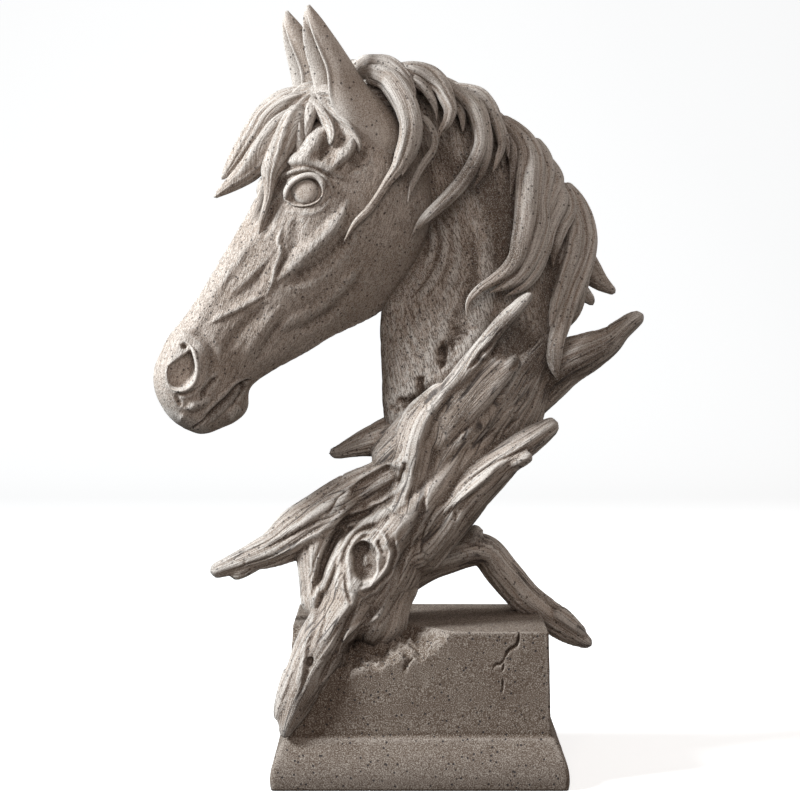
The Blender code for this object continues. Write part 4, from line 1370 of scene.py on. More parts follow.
    def bead(self, path: Array, half: Array, side: Side, closed: bool) -> Surface:
        """A round bead lying on the skin.

        Args:
            path: (n, 3) rows of along, height and lift above the skin.
            half: (n,) half thicknesses.
            side: the flank it is on.
            closed: whether its ends meet.

        Returns:
            The bead's surface.
        """
        out = (self.skin(path[:, :2]) + path[:, 2]) * side.value
        line = on_head(path[:, 0], path[:, 1], out)
        round_step = np.roll(line, -1, axis=0) - np.roll(line, 1, axis=0)
        heading = unit(round_step if closed else np.gradient(line, axis=0))
        lean = np.array([0.0, side.value, 0.0])
        deep = unit(lean - heading * (heading @ lean)[:, None])
        angle, half = turns(self.bead_around), half[:, None]
        rings = rings_round(line, np.cross(heading, deep), deep, half * np.cos(angle), 1.25 * half * np.sin(angle))
        points = horse_to_row(rings)
        return tube(points, points, closed)

    def lids(self, side: Side) -> Surface:
        """Both lids as one bead round the eye, thick above, thin below, drawn out to the tear corner in front."""
        looped = np.array([*self.lid_ring, self.lid_ring[0]], float)
        line = even_rows(looped, 121, 2)[:-1]
        upper = smooth_step((line[:, 1] + 4.0) / 7.0)
        corner = smooth_step((-line[:, 0] - 9.5) / 5.0)
        lift = 0.6 + 1.6 * upper - 1.4 * corner
        half = 0.60 + 1.20 * upper - 0.20 * corner
        return self.bead(np.column_stack([self.eye_places(line), lift]), half, side, True)

    def rim(self, side: Side) -> Surface:
        """The thin edge round the back and underside of a nostril."""
        line = even_rows(self.nostril_rim, 90, 2)
        run = np.linspace(0.0, 1.0, len(line))
        ends = end_fade(run, 0.25)
        path = np.column_stack([line, -0.6 + 1.2 * ends])
        return self.bead(path, 0.5 + 0.75 * ends, side, False)

    def eyes_and_rims(self) -> Surface:
        """Eyes, lids and nostril rims of both flanks as one piece."""
        return Surface.joined([build(side) for side in Side for build in (self.eyeball, self.lids, self.rim)])


@dataclass
class Ears:
    """Two pricked ears: leaves with a hollow that looks forwards and out, closing to a fold above the base."""

    # y of base and tip; x and z of the middle line with half depth and half width
    out: Pair = (19.0, 23.0)
    line: Rows = (
        (-46, 372, 12, 9), (-55, 384, 17, 12), (-66, 397, 16.5, 12.5), (-76.8, 412, 13.4, 10.5),
        (-85, 427, 10.8, 9), (-91.3, 440.5, 8.3, 7.2), (-95.2, 451.5, 5.2, 4.6), (-97.6, 460, 1.5, 1.5),
    )
    slot: float = 0.80
    slot_half: float = math.radians(35.0)
    slot_faces: Pair = (math.radians(23.0), math.radians(-6.0))
    far_rise: float = 2.4
    lip: float = 0.11
    fore_lean: float = 0.4
    bow: float = 1.1
    rings: int = 104
    around: int = 108

    def surface(self, side: Side) -> Surface:
        """One ear: rings whose radius is cut down by a slot with a thin rim on either side.

        The slot opens two fifths of the way up, and narrows towards its foot, where a fold runs on down.
        """
        rows = even_rows(self.line, self.rings, 2)
        out = np.linspace(*self.out, len(rows))[:, None] * side.value
        angle = turns(self.around)
        x, z, fore, across = (column[:, None] for column in rows.T)
        run = np.linspace(0.0, 1.0, len(rows))[:, None]
        z = z + (self.far_rise * run if side is Side.FAR else 0.0)
        faces = self.slot_faces[side is Side.FAR] + 0.22 * np.sin(7.0 * run - 1.0) * (1.0 - run)
        from_slot = np.abs((angle - faces + math.pi) % (2.0 * math.pi) - math.pi)
        narrow = self.slot_half * (0.14 + 0.86 * smooth_step((run - 0.36) / 0.32)) * (1.0 - 0.35 * run**4)
        opening = smooth_step((narrow * 1.25 - from_slot) / (narrow * 0.55))
        hollow = (0.25 + 0.75 * smooth_step((run - 0.38) / 0.2)) * smooth_step((run - 0.14) / 0.2)
        hollow = hollow * (1.0 - 0.9 * smooth_step((run - 0.82) / 0.16))
        lip = self.lip * np.exp(-(((from_slot - narrow * 1.3) / self.lip) ** 2)) * hollow
        reach = 1.0 - self.slot * opening * hollow + lip
        reach = reach + 0.025 * np.cos(3.0 * angle + 9.0 * run) + 0.02 * np.cos(5.0 * angle - 14.0 * run)
        ahead = fore * reach * np.cos(angle)
        bend = self.bow * np.sin(10.0 * run + 0.6) * smooth_step((run - 0.25) / 0.3)
        local = pack(x - ahead + bend, out + side.value * across * reach * np.sin(angle), z - self.fore_lean * ahead)
        return tube(horse_to_row(local), local)


# ----------------------------------------
# Mane and forelock


def lock_tube(path: Array, halves: tuple[Array, Array], reach: Array, turn: Array, lean: Array,
              number: int, length: float) -> Surface:
    """A lock's surface round its middle line.

    Its section lies between a circle and a square with its corners on the axes, whose ridges wind along the lock
    as it turns: at angle a the radius is (|cos a|^n + |sin a|^n)^(-1/n), a little enlarged to hold its girth.

    Args:
        path: (n, 3) middle line in the horse's frame.
        halves: half width and half depth of each ring, as (n, 1) columns.
        reach: (n, around) shares of the halves.
        turn: (n, 1) angles that the section has turned by.
        lean: the direction that depth leans to.
        number: the lock's number, which sets its grain apart from the others'.
        length: how long the lock is, in millimetres.

    Returns:
        The surface in the row frame.
    """
    _, deep, wide = path_frames(path, lean)
    angle = turns(reach.shape[1])
    corner = np.abs(np.cos(angle - turn)) ** SECTION_POWER + np.abs(np.sin(angle - turn)) ** SECTION_POWER
    corner = SECTION_GROWTH * corner ** (-1.0 / SECTION_POWER)
    across = halves[0] * reach * (corner * np.cos(angle))
    through = halves[1] * reach * (corner * np.sin(angle))
    run = np.linspace(0.0, 1.0, len(path))[:, None]
    grain = pack(halves[0] * angle + GRAIN_APART * number, 0.0, run * length)
    return tube(horse_to_row(rings_round(path, wide, deep, across, through)), grain)


@dataclass(frozen=True)
class Lock:
    """A lock of hair. Each row is x, the y of its outer face, z and half width, in the horse's frame.

    Thick is its depth over its width, depth that of its grooves, twist its winding in half turns, and proud how
    far it stands out in front of its rows.
    """

    rows: Rows
    thick: float = 0.85
    ridges: int = 6
    depth: float = 0.20
    twist: float = 0.6
    proud: float = 0.0
    ring_step: float = 1.15
    around_per_mm: float = 7.5
    fewest: int = 22
    most: int = 62
    tip_length: float = 15.0
    far_coarseness: float = 1.5

    def surface(self, number: int, side: Side = Side.NEAR, shift: float = 0.0) -> Surface:
        """The lock as a tube whose section has round strands and sharp grooves between them.

        The radius is 1 + depth (|cos|^0.7 - 0.62) of half the number of ridges times the angle, which winds a
        little along the lock and sways, so that strands wander; a fine set of hairs lies on top.

        Args:
            number: picks the lock's own sway.
            side: the flank it lies on.
            shift: how far it is moved back along the body, so that the flanks differ.

        Returns:
            The closed lock.
        """
        table = np.array(self.rows, float)
        thickness = table[:, 3] * self.thick
        table[:, 1] = (table[:, 1] - self.proud + thickness) * -side.value
        table[:, 0] += shift
        table[:, 2] -= 0.5 * shift
        length = step_lengths(table[:, :3]).sum()
        coarse = 1.0 if side is Side.NEAR else self.far_coarseness
        rows = even_rows(table, max(int(length / (self.ring_step * coarse)), 18))
        around = int(np.clip(table[:, 3].max() * self.around_per_mm, self.fewest, self.most) / coarse)
        half, angle = rows[:, 3:], turns(around)
        run = np.linspace(0.0, 1.0, len(rows))[:, None]
        sway = 0.35 * np.sin(angle + 5.0 * run + number) + 0.25 * np.sin(2.0 * angle - 7.0 * run + 2.0 * number)
        winding = 0.5 * self.ridges * (angle + sway) + self.twist * math.pi * run + 1.3 * number
        hairs = np.abs(np.cos(2.6 * winding + 3.0 * sway)) - 0.6
        ends = end_fade(run, LOCK_ENDS)
        half = half * round_ends(run[:, 0] * length, half[0, 0], 1.5 * half[-1, 0])[:, None]
        half = half * np.clip((1.0 - run) * length / self.tip_length, 0.0, 1.0) ** 0.4
        reach = 1.0 + ends * (self.depth * strands(winding) + 0.025 * hairs)
        turn = 0.9 * math.pi * self.twist * run + 0.4 * math.sin(number)
        lean = np.array([0.0, side.value, 0.0])
        return lock_tube(rows[:, :3], (half, half * self.thick), reach, turn, lean, number, length)


NEAR_LOCKS = {
    "poll_top": Lock(((-66, -6, 424, 4), (-60, -14, 430, 3.5), (-55, -24, 430, 3.6), (-49, -29, 428, 4),
        (-43, -33, 422, 4), (-38, -36, 413, 3), (-36, -36, 404, 2)), ridges=4),
    "poll_lock": Lock(((-64, -12, 424, 3), (-58, -25, 423, 4.6), (-51, -31, 420, 5.8), (-46, -35, 413, 6.4),
        (-42, -38, 404, 6.6), (-40, -40, 394, 6.4), (-41, -40, 384, 5.8), (-44, -39, 374, 5.2), (-48, -38, 366, 3.8),
        (-54, -36.5, 358, 2.6), (-60, -36, 349, 2.2), (-66, -35.5, 341, 2.2), (-74, -34.5, 333, 1.8),
        (-80, -32.5, 323, 1)), proud=3.0, ridges=5, depth=0.16, twist=0.3),
    "poll_split": Lock(((-38, -37, 405, 2.4), (-36.5, -40, 392, 3.2), (-38, -40, 380, 3.4), (-42, -39, 370, 2.8),
        (-46, -38, 361, 1.2)), proud=2.0, ridges=3),
    "poll_inner": Lock(((-62, -22, 420, 3), (-54, -27, 416, 2.8), (-50, -30, 409, 2.2), (-46, -32, 401, 1.8),
        (-44, -33, 393, 1.5), (-42, -34, 386, 1)), proud=1.0, ridges=3),
    "second_lock": Lock(((-45, -28, 425, 3.4), (-35, -31, 424, 5), (-26, -32, 421, 6), (-20, -34, 416, 5.6),
        (-17, -36, 409, 4.6), (-15, -38, 401, 3.6), (-17, -38, 394, 2.8), (-22, -37.5, 387, 1.9), (-24, -37, 379, 1)),
        proud=2.0, ridges=5, depth=0.26, twist=0.2),
    "second_inner": Lock(((-38, -33, 420, 3), (-31, -35, 415, 3), (-26, -35, 409, 2.8), (-23, -35, 402, 2.4),
        (-22, -34, 394, 1)), ridges=3),
    "thin_lock": Lock(((-33, -37, 397, 1.6), (-28, -38.5, 391, 2), (-25, -38.5, 384, 2.2), (-26, -38, 377, 2.2),
        (-31, -37.5, 370, 2.2), (-35, -36, 363, 2), (-38, -34, 355, 1.8), (-40, -32, 346, 1)), proud=1.5, ridges=3),
    "third_lock": Lock(((-17, -28, 418, 3), (-9, -30, 413, 3.4), (-2, -32, 407, 4), (2, -35, 400, 4.2),
        (4, -37, 391, 4.2), (4, -38.5, 382, 4), (1, -39, 373, 4.2), (-4, -39, 364, 4.4), (-11, -39, 355, 4.4),
        (-19, -38, 347, 4), (-27, -37, 340, 3.4), (-33, -34, 334, 2.6), (-37, -30, 327, 1.4)), proud=3.0, ridges=4,
        depth=0.14, twist=0.2),
    "fourth_lock": Lock(((-14, -18, 416, 3), (0, -22, 415, 3.4), (8, -26, 412, 4), (13, -29, 406, 4),
        (16, -32, 399, 3.6), (18, -34, 390, 2.8), (18.5, -36, 381, 2.4), (16, -36, 373, 2.2), (12, -36, 364, 1.2)),
        proud=1.5, ridges=4),
    "fourth_inner": Lock(((-11, -30, 413, 2.2), (1, -31, 409, 3), (7, -33, 402, 3.4), (9, -35, 392, 3.4),
        (9.5, -37, 382, 3.4), (8, -37, 372, 3), (5, -37.5, 363, 2.2), (0, -37, 355, 1.2)), ridges=4),
    "fifth_thin": Lock(((19, -28, 400, 1.8), (21, -32, 391, 2.2), (23, -34, 382, 2.2), (24, -34, 373, 1.2)),
        ridges=3),
    "outer_lock": Lock(((22, -22, 398, 3.5), (31, -26, 391, 5), (37, -30, 383, 6.4), (39, -34, 373, 7.6),
        (37, -38, 361, 7.9), (35, -40, 348, 7.4), (33, -41, 336, 6.8), (30, -41.5, 324, 6.2), (27, -42, 314, 5.6),
        (20, -42, 306, 4.6), (10, -41, 300, 3), (2, -40, 295, 2.4), (-4, -38, 288, 1.9), (-5, -36, 279, 1)),
        proud=3.0, ridges=5, depth=0.18, twist=0.35),
    "outer_right": Lock(((44, -20, 386, 4), (49, -26, 377, 4.4), (51, -29, 368, 4.4), (48.5, -32, 358, 4.2),
        (45, -35, 347, 4.2), (44, -38, 336, 4.4), (40.5, -40, 325, 4.6), (35, -41, 313, 4.4), (28, -41.5, 303, 3.6),
        (18, -41, 297, 2.6), (8, -40, 293, 1)), proud=3.5, ridges=5),
    "sixth_crown": Lock(((48, -18, 378, 4), (55, -22, 370, 5), (58, -27, 361, 4.8), (53.5, -31, 353, 4.2),
        (49, -34, 344, 3.4), (46.5, -35.5, 334, 2.4), (45, -36, 325, 1.2)), proud=3.0, ridges=5),
    "seventh_strand": Lock(((57, -24, 362, 4), (60, -28, 353, 4.2), (57.5, -32, 345, 4.2), (52, -35, 337, 4),
        (48, -37, 329, 4), (45.5, -38, 320, 4), (42, -38, 311, 4), (36, -38.5, 302, 3.6), (28, -38.5, 295, 2.6),
        (19, -38, 291, 1)), proud=3.5, ridges=5),
    "eighth_strand": Lock(((66, -15, 360, 4), (69, -21, 351, 4.4), (67, -26, 342, 4.4), (60, -31, 333, 4.2),
        (56, -33, 325, 3.6), (54, -33, 317, 2.8), (53.5, -32, 308, 1.4)), proud=1.5, ridges=5),
    "body_outer": Lock(((69, -12, 360, 4), (76, -16, 350, 5.4), (80, -20, 339, 6.4), (81, -24, 327, 6.8),
        (78, -28, 316, 7.2), (73, -32, 306, 7.6), (68, -34, 297, 7.4), (62.5, -36, 286, 6.6), (58, -37.5, 274, 5.6),
        (54, -38.5, 263, 4.6), (52.5, -39, 254, 4.4), (53, -38.5, 247, 3.8), (55, -37, 240, 1.8)), proud=1.5,
        ridges=8, depth=0.20, twist=0.4),
    "body_inner": Lock(((70, -18, 347, 4.2), (73, -22, 336, 5), (71, -27, 325, 5.2), (68, -30, 315, 5),
        (63, -33, 305, 4.8), (58, -35, 294, 4.4), (53, -36, 283, 3.4), (49.5, -36, 272, 1.8)), proud=2.5, ridges=6),
}
CREST_LOCKS = {
    "poll_crown": ((-76, 0, 400, 11, 15), (-60, 0, 405, 14, 19), (-40, 0, 410, 12, 22), (-20, 0, 411, 10, 20)),
    "crest_ridge": ((-46, 0, 415, 8, 12), (-14, 0, 416, 9, 15), (24, 0, 396, 9, 16), (51, 0, 371, 9, 16),
        (72, 0, 344, 9, 16)),
    "crest_fall": ((56, 0, 364, 9, 14), (75, 0, 338, 9, 17), (81, 0, 314, 9, 18), (78, 0, 292, 9, 16),
        (69, 0, 268, 8, 14)),
    "tuft": ((68, -2, 326, 13, 10), (82, 0, 315, 11.5, 9), (93, 1, 306, 7.6, 6), (100, 1, 299.6, 5, 4.4),
        (106, 1, 295.6, 3.2, 3), (110.5, 1, 292.6, 2, 1.8)),
    "lower_tuft": ((66, -6, 300, 9, 8), (78, -6, 296, 7, 6), (88, -6, 290, 4, 4), (92, -6, 285, 1.5, 1.5)),
}
FORELOCK = {
    "cap": ((-78, -6, 409, 6, 5), (-88, -9, 408.5, 9, 7), (-96, -10, 404, 10, 7), (-102, -11, 398, 9, 6),
        (-106, -12, 391, 5, 4)),
    "upper": ((-78, 0, 408, 6, 9), (-92, -3, 409, 7, 10), (-106, -5, 404.5, 8, 10), (-118, -6, 395.5, 8.2, 9),
        (-127, -7, 384, 7.4, 7.5), (-135, -7, 374, 5.6, 5.6), (-142, -8, 365, 3.2, 3.4), (-146.5, -8, 359, 1, 1)),
    "long": ((-96, -8, 402, 6, 6), (-107, -11, 394, 8.4, 7), (-117, -13, 382, 9, 6.5), (-125, -13, 371.5, 8.4, 5.5),
        (-134, -12.5, 362, 6, 4.5), (-143, -11.5, 355, 3.6, 3), (-152, -11, 348.5, 1, 1)),
    "curtain": ((-98, -12, 402, 6, 7), (-105, -15, 393, 8, 7), (-110, -17, 383, 8.5, 6), (-115, -18, 373, 8, 5.5),
        (-119, -18.5, 364, 6, 5), (-120.5, -19, 356, 3.6, 4), (-121.5, -19.5, 349, 2.4, 3),
        (-123.5, -18.5, 341, 1.8, 2.2), (-125, -16, 334, 1.4, 1.8), (-126.3, -15, 326, 0.7, 0.8)),
    "edge": ((-99, -11, 405, 4, 4), (-102.5, -15.5, 396.5, 4, 4), (-103, -19, 389, 3.6, 3.6),
        (-102.8, -20.5, 381, 2.8, 3), (-103.6, -22, 372, 1, 1.2)),
    "fork_left": ((-91, -13, 406, 4, 4), (-95.5, -19, 398, 3.8, 3.6), (-98.2, -20.5, 389, 2.6, 3),
        (-100, -21.5, 379, 0.9, 1.2)),
    "fork_right": ((-93, -12, 407.5, 5, 5), (-89.4, -19, 400.5, 4.6, 4.6), (-86.4, -23, 393, 3.6, 4),
        (-85.6, -27.5, 386, 2.4, 3.6), (-87, -31, 379, 0.9, 1.6)),
    "crown": ((-94, -13, 410, 5, 5), (-87, -19, 410.5, 5, 5), (-81, -24.5, 408, 4.6, 4.6),
        (-76.5, -27, 403.5, 3.4, 3.6), (-73, -27, 398, 1, 1.4)),
    "temple": ((-90, -15, 407, 5, 5), (-83, -21, 402, 4.6, 4.6), (-78, -26, 395, 3.8, 4), (-73.8, -29.5, 388, 2.8, 3),
        (-70.2, -31.5, 381, 1.8, 2), (-69.5, -31, 375, 0.7, 0.8)),
    "far_fall": ((-84, 4, 408, 7, 7), (-98, 10, 404, 7, 6), (-110, 14, 392, 6, 5), (-118, 15, 376, 4.5, 4),
        (-124, 14, 358, 1.4, 1.4)),
}


@dataclass
class Mane:
    """All the locks of the mane on both flanks, the crest between them and the forelock."""

    near: dict[str, Lock] = field(default_factory=lambda: NEAR_LOCKS)
    crest: dict[str, Rows] = field(default_factory=lambda: CREST_LOCKS)
    forelock: dict[str, Rows] = field(default_factory=lambda: FORELOCK)
    neighbours: tuple[tuple[str, str], ...] = (
        ("poll_lock", "second_lock"), ("second_lock", "third_lock"), ("third_lock", "fourth_lock"),
        ("fourth_lock", "outer_lock"), ("outer_lock", "outer_right"), ("outer_right", "eighth_strand"),
        ("eighth_strand", "body_outer"),
    )
    filled_to: tuple[float, ...] = (0.42, 0.5, 0.55, 0.6, 0.75, 0.8, 0.8)
    filled_at: tuple[float, ...] = (0.25, 0.5, 0.75)
    filled_rows: int = 30
    # locks that start in front of this x are the poll's
    poll_end: float = -5.0
    ring_step: float = 1.2
    around_per_mm: float = 6.2
    fewest: int = 26
    most: int = 112

    def full_lock(self, rows: Rows, number: int, ridges: int, depth: float) -> Surface:
        """A lock given by its middle line with half width and half depth, ridged like the others."""
        table = np.asarray(rows, float)
        length = step_lengths(table[:, :3]).sum()
        dense = even_rows(table, max(int(length / self.ring_step), 20))
        around = int(np.clip(table[:, 3:].max() * self.around_per_mm, self.fewest, self.most))
        wide_half, deep_half, angle = dense[:, 3:4], dense[:, 4:], turns(around)
        run = np.linspace(0.0, 1.0, len(dense))[:, None]
        sway = 0.30 * np.sin(angle + 4.0 * run + number) + 0.16 * np.sin(3.0 * angle - 6.0 * run + 2.0 * number)
        winding = 0.5 * ridges * (angle + sway) + 0.5 * math.pi * run + number
        ends = end_fade(run, LOCK_ENDS)
        kept = round_ends(run[:, 0] * length, float(deep_half[0, 0]), 1.5 * float(deep_half[-1, 0]))[:, None]
        reach = 1.0 + ends * (depth * strands(winding) + 0.02 * np.cos(5.3 * winding))
        turn = 0.5 * math.pi * run + math.sin(number)
        halves = (wide_half * kept, deep_half * kept)
        return lock_tube(dense[:, :3], halves, reach, turn, np.array([0.0, 1.0, 0.0]), number, length)

    def under_locks(self) -> list[Lock]:
        """Thinner locks that fill the mane between each two that follow each other along the crest.

        Each is a mean of its two neighbours over the share of their length that filled_to gives. It sinks and
        thins towards its end.
        """
        filled = []
        for (first, second), last in zip(self.neighbours, self.filled_to):
            tables = [even_rows(self.near[name].rows, self.filled_rows) for name in (first, second)]
            kept = max(int(self.filled_rows * last), 8)
            for share in self.filled_at:
                rows = tables[0][:kept] * (1.0 - share) + tables[1][:kept] * share
                run = np.linspace(0.0, 1.0, kept)
                rows[:, 1] += 2.0 + 12.0 * run**2
                rows[:, 3] = 4.4 * (1.0 - 0.8 * run**2)
                filled.append(Lock(rows[::3].tolist(), ridges=4, depth=0.18, twist=0.3))
        return filled

    def flank(self, side: Side) -> tuple[Surface, Surface]:
        """The locks of one flank, those of the poll and those behind them, each as one surface.

        On the far flank every lock is moved a little along the neck.
        """
        locks = [*self.near.values(), *self.under_locks()]
        far = side is Side.FAR
        made = [
            lock.surface(number + 3 * far, side, 2.5 * math.sin(2.1 * number) * far)
            for number, lock in enumerate(locks)
        ]
        fore = [lock.rows[0][0] < self.poll_end for lock in locks]
        return (
            Surface.joined([surface for surface, ahead in zip(made, fore) if ahead]),
            Surface.joined([surface for surface, ahead in zip(made, fore) if not ahead]),
        )

    def crest_and_forelock(self) -> Surface:
        """The hair along the top of the neck, the tufts behind it and the forelock."""
        parts = [self.full_lock(rows, number, 14, 0.10) for number, rows in enumerate(self.crest.values())]
        for number, rows in enumerate(self.forelock.values()):
            broad = max(row[3] for row in rows)
            parts.append(self.full_lock(rows, 20 + number, int(3 + broad), 0.20 - 0.009 * broad))
        return Surface.joined(parts)


# ----------------------------------------
# Patina and painted shade


@dataclass
class PatinaAndPaintedShade:
    """Works out umber for hollows, partly patina and partly painted shade, and painted shade where pieces lie close."""

    cell: float = 2.5
    fine_rounds: int = 5
    wide_rounds: int = 45
    # how far a point lies below its smoothed place to count in full, and what each smoothing counts for
    fine_full: float = 0.16
    wide_full: float = 1.1
    fine_share: float = 0.22
    wide_share: float = 0.30
    most_sunk: float = 1.2
    # how far off the surface the density is looked up, and what a lone flat surface gives there
    look_ups: tuple[Pair, ...] = ((6.0, 0.022), (11.0, 0.002))
    full_density: float = 0.10
    margin: float = 8.0
    # painted shadows on the near side, as x and z, and the plinth foot darker towards its bottom; the heights are
    # shares, below zero for painted highlights
    painted_shade_and_highlights: tuple[Stroke, ...] = (
        # painted shadow on the neck under the mane and behind the wood
        Stroke(((40, 276), (56, 266), (70, 254), (80, 242)), 15, 15, 2.2, DISH, 0.2),
        Stroke(((18, 374), (34, 362), (46, 346), (52, 322), (54, 300)), 13, 13, 1.9, DISH, 0.2),
        Stroke(((8, 392), (15, 376), (20, 360), (14, 342), (3, 328)), 9, 9, 1.2),
        Stroke(((50, 390), (54, 372), (56, 350)), 7, 7, 1.2),
        Stroke(((82, 326), (80, 304), (74, 286)), 6.5, 6.5, 1.6),
        Stroke(((-12, 402), (-8, 380), (-18, 356)), 12, 12, 0.5),
        Stroke(((-8, 188), (-22, 177), (-38, 167)), 8, 8, 0.6),
        Stroke(((-10, 176), (-20, 168), (-31, 161.5), (-42, 157)), 3.5, 3, 0.8),
        Stroke(((-33, 137.5), (-32.5, 129.5)), 7, 7, 2.4, BOWL, 0),
        Stroke(((18, 250), (17, 258), (22, 266), (32, 270)), 5, 6, 0.9, taper=0.2),
        Stroke(((-12, 223), (0, 228), (5, 240)), 5, 5, 0.9, taper=0.2),
        Stroke(((-30, 76), (-10, 80), (8, 86)), 9, 9, 0.7),
        Stroke(((-45, 76), (-37, 82), (-30, 88)), 11, 11, 1.7, taper=0),
        Stroke(((-68, 38), (-56, 54), (-42, 72)), 14, 14, 1),
        Stroke(((-62, 24), (-30, 24)), 8, 8, 0.5),
        # painted highlight on the trunk's lit plane
        Stroke(((18, 198), (40, 214), (64, 232)), 11, 11, -1.1),
        Stroke(((70, 226), (88, 241), (106, 251), (124, 264)), 11, 9, 1.7),
        Stroke(((46, 124), (66, 100), (88, 84), (106, 73)), 10, 8, 1.4),
        Stroke(((-52, 90), (-66, 66), (-78, 40)), 10, 8, 1.1),
        Stroke(((-103, 240), (-113, 230), (-124, 218)), 4.5, 5, 1.3),
        Stroke(((59, 93), (57, 84.5), (49.5, 75.5)), 2.2, 2, 1.6, taper=0.2),
        # the plinth foot darker towards its bottom
        Stroke(((-96, 2), (96, 2)), 17, 17, 1, BOWL, 0),
        # painted highlight inside the nostril
        Stroke(((-139, 250), (-137, 236)), 9.5, 9.5, -2.2, BOWL, 0),
    )

    def patina_and_shade(self, piece: bpy.types.Object) -> None:
        """Stores patina_and_shade, patina and painted shade: half plus how far a point lies below its smoothed
        neighbourhood.
        """
        mesh = piece.data
        points, normal = read_points(mesh), read_normals(mesh)
        fine = neighbour_mean(points, mesh, self.fine_rounds)
        wide = neighbour_mean(fine, mesh, self.wide_rounds)
        fine_sink = np.sum((fine - points) * normal, axis=1) / self.fine_full
        wide_sink = np.sum((wide - points) * normal, axis=1) / self.wide_full
        value = 0.5
        for share, sink in ((self.fine_share, fine_sink), (self.wide_share, wide_sink)):
            value = value + share * np.clip(sink, -self.most_sunk, self.most_sunk)
        store(mesh, "patina_and_shade", np.clip(value, 0.0, 1.0))

    def painted_shade(self, pieces: Sequence[bpy.types.Object]) -> None:
        """Stores the painted_shade attribute: occlusion shade from how much surface lies just outside each point.

        The area of all pieces is counted into cubes and blurred; a point looks up the density a few millimetres
        off its own surface, less what a lone flat surface gives there.
        """
        places, weights, normals = [], [], []
        for piece in pieces:
            mesh = piece.data
            totals = read(mesh.polygons, "loop_total", kind=np.int32)
            share = np.repeat(read(mesh.polygons, "area") / totals, totals) / MM**2
            corners = read(mesh.loops, "vertex_index", kind=np.int32)
            places.append(read_points(mesh))
            weights.append(np.bincount(corners, weights=share, minlength=len(mesh.vertices)))
            normals.append(read_normals(mesh))
        low = np.min([points.min(0) for points in places], axis=0) - self.margin * self.cell
        high = np.max([points.max(0) for points in places], axis=0) + self.margin * self.cell
        counts = np.ceil((high - low) / self.cell).astype(int)
        edges = [low[k] + np.arange(counts[k] + 1) * self.cell for k in range(3)]
        density, _ = np.histogramdd(np.vstack(places), edges, weights=np.concatenate(weights))
        density /= self.cell**3
        for axis in range(3):
            for _ in range(2):
                density = 0.25 * np.roll(density, 1, axis) + 0.5 * density + 0.25 * np.roll(density, -1, axis)
        for piece, points, normal in zip(pieces, places, normals):
            total = np.zeros(len(points))
            for off, flat in self.look_ups:
                cell = (points + normal * off - low) / self.cell - 0.5
                total += np.clip((self._sample(density, cell) - flat) / self.full_density, 0.0, 1.0)
            # painted shadows and highlights on the near face, added to the painted occlusion shade
            near = smooth_step((0.3 - normal[:, 1]) / 0.5) * (points[:, 1] < 0.0)
            painted_marks = relief(points[:, [0, 2]], self.painted_shade_and_highlights) * near
            store(piece.data, "painted_shade", np.clip(0.5 * total, 0.0, 1.0) + painted_marks)

    @staticmethod
    def _sample(volume: Array, cell: Array) -> Array:
        """The volume's values at places between its cells, by the mean of the eight round each."""
        low = np.clip(np.floor(cell).astype(int), 0, np.array(volume.shape) - 2)
        return corner_mean(low, np.clip(cell - low, 0.0, 1.0), lambda x, y, z: volume[x, y, z])


# ----------------------------------------
# Studio


